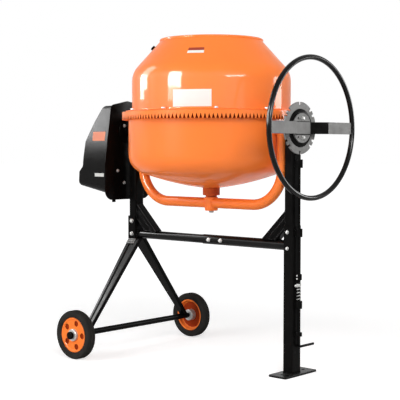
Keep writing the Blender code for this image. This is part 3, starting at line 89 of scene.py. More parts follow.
@dataclass(frozen=True)
class Finish:
    """One finish of the machine, made as a procedural material."""

    name: str
    slot: str
    colour: Spot
    worn: Spot
    roughness: float
    relief: Relief
    metallic: float = 0.0
    coat: float = 0.0
    coat_roughness: float = 0.04
    specular: float = 0.5
    bump: float = 0.1
    patch: float = 7.0
    mottle: float = 0.35
    unevenness: float = 0.08

    def material(self) -> bpy.types.Material:
        """Return the finish's material, made on first use.

        Returns:
            The material, with colour, roughness and bump from noise in object coordinates.
        """
        known = bpy.data.materials.get(self.name)
        if known is not None:
            return known
        material = bpy.data.materials.new(self.name)
        material.use_nodes = True
        nodes, links = material.node_tree.nodes, material.node_tree.links
        shader = nodes["Principled BSDF"]
        for socket, value in (("Metallic", self.metallic), ("Coat Weight", self.coat),
                              ("Coat Roughness", self.coat_roughness), ("Specular IOR Level", self.specular)):
            shader.inputs[socket].default_value = value
        spots = nodes.new("ShaderNodeTexCoord").outputs["Object"]
        patches = self.noise(material, spots, self.patch, 5.0)
        ramp = nodes.new("ShaderNodeMapRange")
        ramp.inputs["From Min"].default_value = 0.35
        ramp.inputs["From Max"].default_value = 0.75
        ramp.inputs["To Max"].default_value = self.mottle
        links.new(patches, ramp.inputs["Value"])
        blend = nodes.new("ShaderNodeMix")
        blend.data_type = "RGBA"
        blend.inputs[6].default_value = (*self.colour, 1.0)
        blend.inputs[7].default_value = (*self.worn, 1.0)
        links.new(ramp.outputs["Result"], blend.inputs[0])
        links.new(blend.outputs[2], shader.inputs["Base Color"])
        smears = nodes.new("ShaderNodeMapRange")
        smears.inputs["From Min"].default_value = 0.3
        smears.inputs["From Max"].default_value = 0.7
        smears.inputs["To Min"].default_value = max(0.02, self.roughness - self.unevenness)
        smears.inputs["To Max"].default_value = self.roughness + self.unevenness
        links.new(self.noise(material, spots, 4 * self.patch, 3.0), smears.inputs["Value"])
        links.new(smears.outputs["Result"], shader.inputs["Roughness"])
        scale, depth = self.relief.value
        bump = nodes.new("ShaderNodeBump")
        bump.inputs["Strength"].default_value = self.bump
        bump.inputs["Distance"].default_value = depth
        links.new(self.noise(material, spots, scale, 2.0), bump.inputs["Height"])
        links.new(bump.outputs["Normal"], shader.inputs["Normal"])
        return material

    @staticmethod
    def noise(material: bpy.types.Material, spots: bpy.types.NodeSocket, scale: float,
              detail: float) -> bpy.types.NodeSocket:
        """Add a noise texture.

        Args:
            material: The material that gets the texture.
            spots: The coordinates it reads.
            scale: Repeats of the noise for each metre.
            detail: Octaves of finer noise.

        Returns:
            The noise's value.
        """
        texture = material.node_tree.nodes.new("ShaderNodeTexNoise")
        texture.inputs["Scale"].default_value = scale
        texture.inputs["Detail"].default_value = detail
        material.node_tree.links.new(spots, texture.inputs["Vector"])
        return texture.outputs["Fac"]


ORANGE_PAINT = Finish("orange_gloss_paint", "orange_paint", (0.96, 0.215, 0.037), (0.91, 0.188, 0.030), 0.36,
                      Relief.ORANGE_PEEL, coat=0.24, coat_roughness=0.03, specular=0.03, bump=0.03)
BLACK_PAINT = Finish("black_gloss_paint", "black_paint", (0.0035, 0.0033, 0.0032), (0.0060, 0.0055, 0.0052), 0.20,
                     Relief.ORANGE_PEEL, specular=0.025, bump=0.05)
GLOSS_BLACK = Finish("black_tube_paint", "black_paint", (0.0040, 0.0038, 0.0036), (0.0060, 0.0055, 0.0052), 0.13,
                     Relief.ORANGE_PEEL, specular=0.10, bump=0.03, unevenness=0.03)
DULL_BLACK = Finish("dull_black_paint", "black_paint", (0.008, 0.0079, 0.0077), (0.022, 0.0215, 0.021), 0.30,
                    Relief.ORANGE_PEEL, specular=0.07, bump=0.08, patch=14.0, mottle=0.6)
# Dark red painted shade for the tooth flanks and the ring behind the teeth, where shade falls between the teeth.
GEAR_PAINTED_SHADE = Finish("gear_grease", "orange_paint", (0.30, 0.028, 0.0030), (0.22, 0.020, 0.0020), 0.50,
                     Relief.ROLLED, specular=0.02, bump=0.1, patch=30.0)
RIM_PAINT = Finish("rim_orange_paint", "orange_paint", (0.96, 0.215, 0.037), (0.91, 0.188, 0.030), 0.42,
                   Relief.ORANGE_PEEL, coat=0.03, coat_roughness=0.10, specular=0.03, bump=0.04)
# Dark red painted shade for the hidden ring behind the wheel's holes and for the rim's inner face.
RIM_PAINTED_SHADE = Finish("rim_inside", "orange_paint", (0.30, 0.034, 0.006), (0.22, 0.024, 0.004), 0.50,
                   Relief.ROLLED, specular=0.02, bump=0.1, patch=20.0)
# Darker orange as painted shade for the spindle under the drum.
ORANGE_PAINTED_SHADE = Finish("dark_orange_paint", "orange_paint", (0.52, 0.085, 0.014), (0.44, 0.070, 0.011), 0.36,
                     Relief.ORANGE_PEEL, coat=0.10, coat_roughness=0.03, specular=0.03, bump=0.03)
GREY_STEEL = Finish("grey_zinc_steel", "grey_steel", (0.197, 0.196, 0.192), (0.139, 0.137, 0.133), 0.55,
                    Relief.ROLLED, metallic=0.08, specular=0.06, bump=0.12, patch=26.0, mottle=0.8)
BRIGHT_STEEL = Finish("bright_zinc", "bright_steel", (0.46, 0.46, 0.45), (0.34, 0.335, 0.32), 0.42,
                      Relief.ROLLED, metallic=0.25, specular=0.12, bump=0.06, patch=40.0, mottle=0.7)
TYRE_RUBBER = Finish("solid_tyre_rubber", "tyre_rubber", (0.026, 0.025, 0.0235), (0.038, 0.036, 0.034), 0.64,
                     Relief.RUBBERY, specular=0.0, bump=0.30, patch=18.0, mottle=0.6)
BELT_RUBBER = Finish("moulded_belt_rubber", "belt_rubber", (0.016, 0.016, 0.016), (0.030, 0.029, 0.028), 0.75,
                     Relief.RUBBERY, specular=0.3, bump=0.35, patch=30.0)
BLACK_PLASTIC = Finish("black_moulded_plastic", "black_plastic", (0.006, 0.0058, 0.0056), (0.010, 0.0096, 0.0092), 0.22,
                       Relief.MOULDED, specular=0.038, bump=0.04, patch=9.0, mottle=0.2, unevenness=0.02)
GREEN_PLASTIC = Finish("green_button_plastic", "green_plastic", (0.02, 0.30, 0.06), (0.015, 0.24, 0.05), 0.35,
                       Relief.MOULDED, bump=0.08, patch=60.0)
RED_PLASTIC = Finish("red_button_plastic", "red_plastic", (0.55, 0.018, 0.014), (0.45, 0.014, 0.012), 0.35,
                     Relief.MOULDED, bump=0.08, patch=60.0)
WHITE_FILM = Finish("white_film", "orange_paint", (0.79, 0.77, 0.735), (0.74, 0.72, 0.69), 0.40,
                    Relief.PRINTED, specular=0.06, bump=0.05, patch=30.0)
RED_FILM = Finish("red_film", "orange_paint", (0.34, 0.055, 0.030), (0.28, 0.045, 0.025), 0.40,
                  Relief.PRINTED, specular=0.06, bump=0.05, patch=30.0)
ORANGE_FILM = Finish("orange_film", "black_plastic", (0.62, 0.16, 0.060), (0.54, 0.13, 0.045), 0.34,
                     Relief.PRINTED, specular=0.04, bump=0.05, patch=30.0)
GREY_FILM = Finish("grey_film", "black_plastic", (0.62, 0.62, 0.60), (0.52, 0.52, 0.50), 0.36,
                   Relief.PRINTED, specular=0.04, bump=0.05, patch=30.0)


# Flat outlines and meshes


def at(x: float, y: float = 0.0, z: float = 0.0, turn: Optional[Matrix] = None) -> Matrix:
    """Return the place of a piece.

    Args:
        x: Distance from the drum's axis.
        y: Distance from the machine's middle plane.
        z: Height.
        turn: Rotation of the piece, none when left out.

    Returns:
        The matrix that moves a piece there.
    """
    return Matrix.Translation((AXIS_X + x, y, z)) @ (turn or Matrix.Identity(4))


def circle(radius: float, sides: int, x: float = 0.0, y: float = 0.0) -> Flat:
    """Return a circle's points.

    Args:
        radius: Its radius.
        sides: How many points it has.
        x: Its middle.
        y: Its middle.

    Returns:
        The points, counter-clockwise.
    """
    return [(x + radius * math.cos(TURN * i / sides), y + radius * math.sin(TURN * i / sides)) for i in range(sides)]


def arc(centre: tuple[float, float], radius: float, start: float, end: float, steps: int) -> Flat:
    """Return points along an arc.

    Args:
        centre: The arc's middle.
        radius: Its radius.
        start: First angle in radians.
        end: Last angle in radians.
        steps: How many parts it has.

    Returns:
        The points from start to end.
    """
    angles = [start + (end - start) * k / steps for k in range(steps + 1)]
    return [(centre[0] + radius * math.cos(a), centre[1] + radius * math.sin(a)) for a in angles]


def rounded(corners: Sequence[tuple[float, float, float]], steps: int = 5) -> Flat:
    """Return a closed outline with rounded corners.

    Args:
        corners: Points with the radius of each corner.
        steps: Parts of each rounding.

    Returns:
        The outline's points.
    """
    outline: Flat = []
    for i, (x, y, radius) in enumerate(corners):
        if radius <= 0.0:
            outline.append((x, y))
            continue
        corner = Vector((x, y))
        before = (Vector(corners[i - 1][:2]) - corner).normalized()
        after = (Vector(corners[(i + 1) % len(corners)][:2]) - corner).normalized()
        half = before.angle(after) / 2
        reach = radius / math.tan(half)
        middle = corner + (before + after).normalized() * (radius / math.sin(half))
        start = corner + before * reach - middle
        sweep = -start.angle_signed(corner + after * reach - middle)
        for k in range(steps + 1):
            cos, sin = math.cos(sweep * k / steps), math.sin(sweep * k / steps)
            outline.append((middle.x + start.x * cos - start.y * sin, middle.y + start.x * sin + start.y * cos))
    return outline


def rectangle(width: float, depth: float, radius: float, steps: int = 5) -> Flat:
    """Return a rounded rectangle about the origin.

    Args:
        width: Size along x.
        depth: Size along y.
        radius: Radius of its corners.
        steps: Parts of each corner.

    Returns:
        The outline's points.
    """
    w, d = width / 2, depth / 2
    return rounded(((-w, -d, radius), (w, -d, radius), (w, d, radius), (-w, d, radius)), steps)


def shrunk(loop: Flat, amount: float) -> Flat:
    """Move a loop to the left of its own direction.

    Args:
        loop: Points, counter-clockwise round material or clockwise round a hole.
        amount: Distance into the material.

    Returns:
        The moved points.
    """
    moved: Flat = []
    for i, point in enumerate(loop):
        here = Vector(point)
        before = (here - Vector(loop[i - 1])).normalized()
        after = (Vector(loop[(i + 1) % len(loop)]) - here).normalized()
        first, second = Vector((-before.y, before.x)), Vector((-after.y, after.x))
        shift = (first + second) * (amount / max(0.3, 1.0 + first.dot(second)))
        moved.append((here.x + shift.x, here.y + shift.y))
    return moved


def wound(loop: Flat, left: bool) -> Flat:
    """Return a loop that runs counter-clockwise when left is true, or else clockwise."""
    area = sum(a[0] * b[1] - b[0] * a[1] for a, b in zip(loop, loop[1:] + loop[:1]))
    return list(loop) if (area > 0) == left else list(reversed(loop))


def bridge(bm: bmesh.types.BMesh, first: list, second: list) -> None:
    """Lay faces between two closed rings of vertices, either of which may be one point.

    Args:
        bm: The mesh being made.
        first: One ring.
        second: The next ring.
    """
    count = max(len(first), len(second))
    if count == 1:
        return
    for i in range(count):
        j = (i + 1) % count
        corners = [first[i % len(first)], first[j % len(first)], second[j % len(second)], second[i % len(second)]]
        bm.faces.new(list(dict.fromkeys(corners)))


def turned(outline: Flat, sides: int) -> bmesh.types.BMesh:
    """Turn a closed outline about Z.

    Args:
        outline: Points as (radius, height).
        sides: Steps round the axis.

    Returns:
        The mesh.
    """
    bm = bmesh.new()
    rings = []
    for radius, height in outline:
        points = [(0.0, 0.0)] if radius == 0.0 else circle(radius, sides)
        rings.append([bm.verts.new((x, y, height)) for x, y in points])
    for first, second in zip(rings, rings[1:] + rings[:1]):
        bridge(bm, first, second)
    return bm


def plate(outline: Flat, low: Height, high: Height, holes: Sequence[Flat] = (), edge: float = 0.0006,
          steps: int = 2) -> bmesh.types.BMesh:
    """Raise an outline along Z, with its edges rounded.

    Args:
        outline: The plate's edge.
        low: Height of the lower end, or its height at a point.
        high: Height of the upper end, or its height at a point.
        holes: Edges of the holes through it.
        edge: Radius of the rounded edges.
        steps: Parts of each rounding.

    Returns:
        The mesh.
    """
    def level(end: Height, x: float, y: float) -> float:
        """Return an end's height at a point."""
        return end(x, y) if callable(end) else end

    bm = bmesh.new()
    ends: tuple[list, list] = ([], [])
    for loop in [wound(outline, True)] + [wound(hole, False) for hole in holes]:
        rings = []
        for side, end in ((1, low), (-1, high)):
            part = []
            for k in range(steps + 1):
                angle = math.pi / 2 * k / steps
                inset = shrunk(loop, edge * (1 - math.sin(angle)))
                rise = side * edge * (1 - math.cos(angle))
                part.append([bm.verts.new((x, y, level(end, x, y) + rise)) for x, y in inset])
            rings += part if side > 0 else part[::-1]
        for first, second in zip(rings, rings[1:]):
            bridge(bm, first, second)
        for cap, ring in zip(ends, (rings[0], rings[-1])):
            cap += [bm.edges.get(pair) or bm.edges.new(pair) for pair in zip(ring, ring[1:] + ring[:1])]
    for cap in ends:
        bmesh.ops.triangle_fill(bm, use_beauty=True, edges=cap)
    return bm


def solid(name: str, bm: bmesh.types.BMesh, place: Optional[Matrix] = None,
          crease: float = 50.0) -> bpy.types.Object:
    """Turn a bmesh into an object whose place is in its mesh.

    Args:
        name: The object's name.
        bm: Its mesh, which is used up.
        place: Where it goes, the origin when left out.
        crease: Edges sharper than this many degrees stay sharp.

    Returns:
        The object, with smooth shading that keeps its flat faces flat.
    """
    if place is not None:
        bm.transform(place)
    bmesh.ops.remove_doubles(bm, verts=bm.verts[:], dist=1e-7)
    bmesh.ops.recalc_face_normals(bm, faces=bm.faces[:])
    mesh = bpy.data.meshes.new(name)
    bm.to_mesh(mesh)
    bm.free()
    piece = bpy.data.objects.new(name, mesh)
    bpy.context.scene.collection.objects.link(piece)
    return smoothed(piece, crease)


def smoothed(piece: bpy.types.Object, crease: float = 50.0) -> bpy.types.Object:
    """Shade a piece smooth, with normals that follow its large faces.

    Args:
        piece: The object.
        crease: Edges sharper than this many degrees stay sharp.

    Returns:
        The same object.
    """
    mesh = piece.data
    mesh.polygons.foreach_set("use_smooth", [True] * len(mesh.polygons))
    mesh.set_sharp_from_angle(angle=math.radians(crease))
    weights = piece.modifiers.new("weights", "WEIGHTED_NORMAL")
    weights.keep_sharp = True
    return baked(piece)


def baked(piece: bpy.types.Object) -> bpy.types.Object:
    """Turn what a piece's modifiers make into its own plain mesh.

    Args:
        piece: The object.

    Returns:
        The same object, with no modifiers.
    """
    graph = bpy.context.evaluated_depsgraph_get()
    mesh = bpy.data.meshes.new_from_object(piece.evaluated_get(graph), preserve_all_data_layers=True, depsgraph=graph)
    old = piece.data
    piece.modifiers.clear()
    piece.data = mesh
    bpy.data.meshes.remove(old)
    mesh.name = piece.name
    return piece


def shaped(piece: bpy.types.Object, helper: bpy.types.Object, operation: str) -> bpy.types.Object:
    """Join a helper to a piece or cut it out, and remove the helper.

    Args:
        piece: The object that is changed.
        helper: The object that shapes it.
        operation: UNION or DIFFERENCE.

    Returns:
        The changed piece.
    """
    modifier = piece.modifiers.new("shape", "BOOLEAN")
    modifier.operation = operation
    modifier.solver = "EXACT"
    modifier.object = helper
    baked(piece)
    bpy.data.objects.remove(helper)
    return piece


def joined(name: str, pieces: Sequence[bpy.types.Object]) -> bpy.types.Object:
    """Make one object of several that belong to one piece.

    Args:
        name: The new object's name.
        pieces: The objects, which are used up.

    Returns:
        The new object.
    """
    bm = bmesh.new()
    for piece in pieces:
        bm.from_mesh(piece.data)
        bpy.data.objects.remove(piece)
    mesh = bpy.data.meshes.new(name)
    bm.to_mesh(mesh)
    bm.free()
    whole = bpy.data.objects.new(name, mesh)
    bpy.context.scene.collection.objects.link(whole)
    return smoothed(whole)


# Geometry Nodes


class Kind(Enum):
    """Kinds of input that a tree takes."""

    GEOMETRY = "NodeSocketGeometry"
    LENGTH = "NodeSocketFloat"
    COUNT = "NodeSocketInt"
    OBJECT = "NodeSocketObject"
    MATERIAL = "NodeSocketMaterial"


class Tree:
    """A Geometry Nodes tree with named inputs, which ends in real meshes with a material."""

    def __init__(self, name: str, **inputs: Kind) -> None:
        """Start a tree.

        Args:
            name: The tree's name.
            inputs: Its inputs after the first, which is the geometry it works on, and before the last, the material.
        """
        self.group = bpy.data.node_groups.new(name, "GeometryNodeTree")
        self.group.interface.new_socket("geometry", in_out="OUTPUT", socket_type=Kind.GEOMETRY.value)
        self.keys: dict[str, str] = {}
        for label, kind in {"base": Kind.GEOMETRY, **inputs, "material": Kind.MATERIAL}.items():
            socket = self.group.interface.new_socket(label, in_out="INPUT", socket_type=kind.value)
            self.keys[label] = socket.identifier
        self.entry = self.group.nodes.new("NodeGroupInput")

    def taken(self, label: str) -> bpy.types.NodeSocket:
        """Return the socket of a named input."""
        return self.entry.outputs[label]

    def node(self, kind: str, inputs: dict, **settings: Any) -> bpy.types.Node:
        """Add a node.

        Args:
            kind: The node's type.
            inputs: Values or sockets for its inputs, by name or number.
            settings: Its own settings.

        Returns:
            The node.
        """
        node = self.group.nodes.new(kind)
        for key, value in settings.items():
            setattr(node, key, value)
        for key, value in inputs.items():
            if isinstance(value, bpy.types.NodeSocket):
                self.group.links.new(value, node.inputs[key])
            else:
                node.inputs[key].default_value = value
        return node

    def close(self, shapes: bpy.types.NodeSocket) -> "Tree":
        """End the tree.

        Args:
            shapes: What the tree makes.

        Returns:
            The tree itself.
        """
        real = self.node("GeometryNodeRealizeInstances", {"Geometry": shapes}).outputs[0]
        dressed = self.node("GeometryNodeSetMaterial", {"Geometry": real, "Material": self.taken("material")})
        self.node("NodeGroupOutput", {"geometry": dressed.outputs[0]})
        return self

    def grow(self, name: str, base: bpy.types.Mesh, **values: Any) -> bpy.types.Object:
        """Run the tree.

        Args:
            name: Name of the piece it makes.
            base: The mesh it works on.
            values: Its inputs.

        Returns:
            The piece, as a plain mesh.
        """
        piece = bpy.data.objects.new(name, base)
        bpy.context.scene.collection.objects.link(piece)
        modifier = piece.modifiers.new(name, "NODES")
        modifier.node_group = self.group
        for label, value in values.items():
            modifier[self.keys[label]] = value
        return smoothed(baked(piece))


def tube_tree(bent: bool) -> Tree:
    """Build the tree that lays a round bar along a path.

    Args:
        bent: Whether the path's corners are bent to a radius.

    Returns:
        The tree.
    """
    extra = {"bend": Kind.LENGTH, "steps": Kind.COUNT} if bent else {}
    tree = Tree("bent_tube" if bent else "wire", radius=Kind.LENGTH, sides=Kind.COUNT, **extra)
    curve = tree.node("GeometryNodeMeshToCurve", {"Mesh": tree.taken("base")}).outputs[0]
    if bent:
        curve = tree.node("GeometryNodeFilletCurve", {"Curve": curve, "Count": tree.taken("steps"),
                          "Radius": tree.taken("bend"), "Limit Radius": True}, mode="POLY").outputs[0]
    ring = tree.node("GeometryNodeCurvePrimitiveCircle", {"Resolution": tree.taken("sides"),
                     "Radius": tree.taken("radius")}).outputs[0]
    skin = tree.node("GeometryNodeCurveToMesh", {"Curve": curve, "Profile Curve": ring, "Fill Caps": True})
    return tree.close(skin.outputs[0])


def fastener_tree() -> Tree:
    """Build the tree that sets a fastener at each point, along the point's facing direction.

    Returns:
        The tree.
    """
    tree = Tree("fasteners", fastener=Kind.OBJECT, spin=Kind.LENGTH, seed=Kind.COUNT)
    facing = tree.node("GeometryNodeInputNamedAttribute", {"Name": "facing"}, data_type="FLOAT_VECTOR").outputs[0]
    aligned = tree.node("FunctionNodeAlignRotationToVector", {"Vector": facing}, axis="Z").outputs[0]
    chance = tree.node("FunctionNodeRandomValue", {2: 0.0, 3: tree.taken("spin"), "Seed": tree.taken("seed")},
                       data_type="FLOAT").outputs[1]
    twist = tree.node("FunctionNodeAxisAngleToRotation", {"Axis": (0.0, 0.0, 1.0), "Angle": chance}).outputs[0]
    turn = tree.node("FunctionNodeRotateRotation", {"Rotation": aligned, "Rotate By": twist},
                     rotation_space="LOCAL").outputs[0]
    shape = tree.node("GeometryNodeObjectInfo", {"Object": tree.taken("fastener")}).outputs["Geometry"]
    copies = tree.node("GeometryNodeInstanceOnPoints", {"Points": tree.taken("base"), "Instance": shape,
                       "Rotation": turn})
    return tree.close(copies.outputs[0])


def weld_tree() -> Tree:
    """Build the tree that lays an uneven weld bead along paths.

    Returns:
        The tree.
    """
    tree = Tree("weld_beads", bead=Kind.LENGTH, pitch=Kind.LENGTH, seed=Kind.COUNT)
    curve = tree.node("GeometryNodeMeshToCurve", {"Mesh": tree.taken("base")}).outputs[0]
    steps = tree.node("GeometryNodeResampleCurve", {"Curve": curve, "Length": tree.taken("pitch")},
                      mode="LENGTH").outputs[0]
    drop = tree.node("GeometryNodeMeshUVSphere", {"Segments": 8, "Rings": 5, "Radius": tree.taken("bead")}).outputs[0]
    swell = tree.node("FunctionNodeRandomValue", {0: (0.8, 0.8, 0.8), 1: (1.2, 1.2, 1.2), "Seed": tree.taken("seed")},
                      data_type="FLOAT_VECTOR").outputs[0]
    copies = tree.node("GeometryNodeInstanceOnPoints", {"Points": steps, "Instance": drop, "Scale": swell})
    return tree.close(copies.outputs[0])


def ring_tree() -> Tree:
    """Build the tree that repeats a tooth round Z, half a pitch from the start.

    Returns:
        The tree.
    """
    tree = Tree("ring_of_teeth", tooth=Kind.OBJECT, count=Kind.COUNT)
    points = tree.node("GeometryNodeMeshLine", {"Count": tree.taken("count"), "Offset": (0.0, 0.0, 0.0)}).outputs[0]
    index = tree.node("GeometryNodeInputIndex", {}).outputs[0]
    number = tree.node("ShaderNodeMath", {0: index, 1: 0.5}, operation="ADD").outputs[0]
    share = tree.node("ShaderNodeMath", {0: number, 1: tree.taken("count")}, operation="DIVIDE").outputs[0]
    angle = tree.node("ShaderNodeMath", {0: share, 1: TURN}, operation="MULTIPLY").outputs[0]
    turn = tree.node("FunctionNodeAxisAngleToRotation", {"Axis": (0.0, 0.0, 1.0), "Angle": angle}).outputs[0]
    shape = tree.node("GeometryNodeObjectInfo", {"Object": tree.taken("tooth")}).outputs["Geometry"]
    copies = tree.node("GeometryNodeInstanceOnPoints", {"Points": points, "Instance": shape, "Rotation": turn})
    everything = tree.node("GeometryNodeJoinGeometry", {})
    tree.group.links.new(copies.outputs[0], everything.inputs[0])
    tree.group.links.new(tree.taken("base"), everything.inputs[0])
    return tree.close(everything.outputs[0])


def holes_tree() -> Tree:
    """Build the tree that bores a circle of round holes into both faces of a disc about Z.

    Returns:
        The tree.
    """
    tree = Tree("circle_of_holes", holes=Kind.COUNT, hole=Kind.LENGTH, circle=Kind.LENGTH, depth=Kind.LENGTH,
                upper=Kind.LENGTH, lower=Kind.LENGTH)
    spots = tree.node("GeometryNodeMeshCircle", {"Vertices": tree.taken("holes"),
                      "Radius": tree.taken("circle")}).outputs[0]
    drill = tree.node("GeometryNodeMeshCylinder", {"Vertices": 28, "Radius": tree.taken("hole"),
                      "Depth": tree.taken("depth")}).outputs[0]
    drills = tree.node("GeometryNodeInstanceOnPoints", {"Points": spots, "Instance": drill}).outputs[0]
    real = tree.node("GeometryNodeRealizeInstances", {"Geometry": drills}).outputs[0]
    both = tree.node("GeometryNodeJoinGeometry", {})
    for label in ("upper", "lower"):
        height = tree.node("ShaderNodeCombineXYZ", {"Z": tree.taken(label)}).outputs[0]
        moved = tree.node("GeometryNodeTransform", {"Geometry": real, "Translation": height}).outputs[0]
        tree.group.links.new(moved, both.inputs[0])
    bored = tree.node("GeometryNodeMeshBoolean", {0: tree.taken("base"), 1: both.outputs[0]}, operation="DIFFERENCE",
                      solver="EXACT")
    return tree.close(bored.outputs[0])


BENT_TUBE = tube_tree(True)
WIRE = tube_tree(False)
FASTENERS = fastener_tree()
WELDS = weld_tree()
TEETH = ring_tree()
HOLES = holes_tree()


def strands(paths: Sequence[Sequence[Spot]], closed: bool = False) -> bpy.types.Mesh:
    """Return a mesh of edges along paths.

    Args:
        paths: Points of each path.
        closed: Whether each path returns to its start.

    Returns:
        The mesh.
    """
    points: list[Spot] = []
    edges: list[tuple[int, int]] = []
    for path in paths:
        first = len(points)
        points += [tuple(point) for point in path]
        edges += [(i, i + 1) for i in range(first, len(points) - 1)]
        if closed:
            edges.append((len(points) - 1, first))
    mesh = bpy.data.meshes.new("strands")
    mesh.from_pydata(points, edges, [])
    return mesh


def tube(name: str, path: Sequence[Spot], radius: float, finish: Finish, bend: float = 0.0,
         sides: int = 32, steps: int = 14, closed: bool = False) -> bpy.types.Object:
    """Lay a round bar along a path.

    Args:
        name: The piece's name.
        path: Its corners.
        radius: The bar's radius.
        finish: Its finish.
        bend: Radius of the bends, or 0 for none.
        sides: Sides of the bar.
        steps: Parts of each bend.
        closed: Whether the path returns to its start.

    Returns:
        The piece.
    """
    sizes = {"radius": radius, "sides": sides, "material": finish.material()}
    if bend > 0.0:
        return BENT_TUBE.grow(name, strands([path], closed), bend=bend, steps=steps, **sizes)
    return WIRE.grow(name, strands([path], closed), **sizes)


def weld(name: str, paths: Sequence[Sequence[Spot]], bead: float, finish: Finish, seed: int,
         closed: bool = False) -> bpy.types.Object:
    """Lay weld beads along paths.

    Args:
        name: The piece's name.
        paths: Points of each path.
        bead: Radius of the bead.
        finish: Its finish.
        seed: Start of its random sizes.
        closed: Whether each path returns to its start.

    Returns:
        The piece.
    """
    return WELDS.grow(name, strands(paths, closed), bead=bead, pitch=bead * 0.9, seed=seed,
                      material=finish.material())


@dataclass(frozen=True)
class Bolt:
    """A fastener's shape: a washer under a head, along +Z from its seat."""

    across: float
    height: float
    washer: float = 0.0
    sides: int = 6

    def shape(self) -> bpy.types.Object:
        """Return the fastener as an object at the origin.

        Returns:
            The object, which the caller removes.
        """
        base = 0.0
        parts = []
        if self.washer > 0.0:
            base = 0.0016
            ring = rounded(((0.0, 0.0, 0.0), (self.washer, 0.0, 0.0), (self.washer, base, 0.0005), (0.0, base, 0.0)), 2)
            parts.append(solid("washer", turned(ring, 20)))
        radius = self.across / 2 / math.cos(math.pi / self.sides) if self.sides == 6 else self.across / 2
        parts.append(solid("head", plate(circle(radius, self.sides), base - 0.0003, base + self.height,
                                         edge=self.height * 0.22)))
        return joined("fastener", parts)


def fasteners(name: str, bolt: Bolt, spots: Sequence[tuple[Spot, Spot]], finish: Finish, seed: int,
              turning: bool = True) -> bpy.types.Object:
    """Set fasteners at points.

    Args:
        name: The piece's name.
        bolt: Their shape.
        spots: Seat and direction of each.
        finish: Their finish.
        seed: Start of their random turns.
        turning: Whether each is turned by chance about its own axis.

    Returns:
        One piece with all of them.
    """
    shape = bolt.shape()
    piece = scattered(name, shape, spots, finish, seed, turning)
    bpy.data.objects.remove(shape)
    return piece


def scattered(name: str, shape: bpy.types.Object, spots: Sequence[tuple[Spot, Spot]], finish: Finish, seed: int,
              turning: bool) -> bpy.types.Object:
    """Repeat a shape at points.

    Args:
        name: The piece's name.
        shape: The repeated object, along +Z.
        spots: Seat and direction of each copy.
        finish: Their finish.
        seed: Start of their random turns.
        turning: Whether each is turned by chance about its own axis.

    Returns:
        One piece with all of them.
    """
    mesh = bpy.data.meshes.new(name)
    mesh.from_pydata([spot for spot, _ in spots], [], [])
    facing = mesh.attributes.new("facing", "FLOAT_VECTOR", "POINT")
    for item, (_, direction) in zip(facing.data, spots):
        item.vector = direction
    return FASTENERS.grow(name, mesh, fastener=shape, spin=TURN if turning else 0.0, seed=seed,
                          material=finish.material())


# Sub-assemblies


class Assembly:
    """A group of pieces that are built, dressed and placed together."""

    def place(self, piece: bpy.types.Object, finish: Finish, body: str, *nodes: str) -> bpy.types.Object:
        """Dress a piece and let it ride on its body.

        Args:
            piece: The object.
            finish: Its finish.
            body: The body it moves with.
            nodes: CAD nodes that it stands for.

        Returns:
            The same object.
        """
        piece.data.materials.clear()
        piece.data.materials.append(finish.material())
        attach(piece, body)
        if nodes:
            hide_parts(*nodes)
        LOG.info("%s rides on %s, %d faces", piece.name, body, len(piece.data.polygons))
        return piece


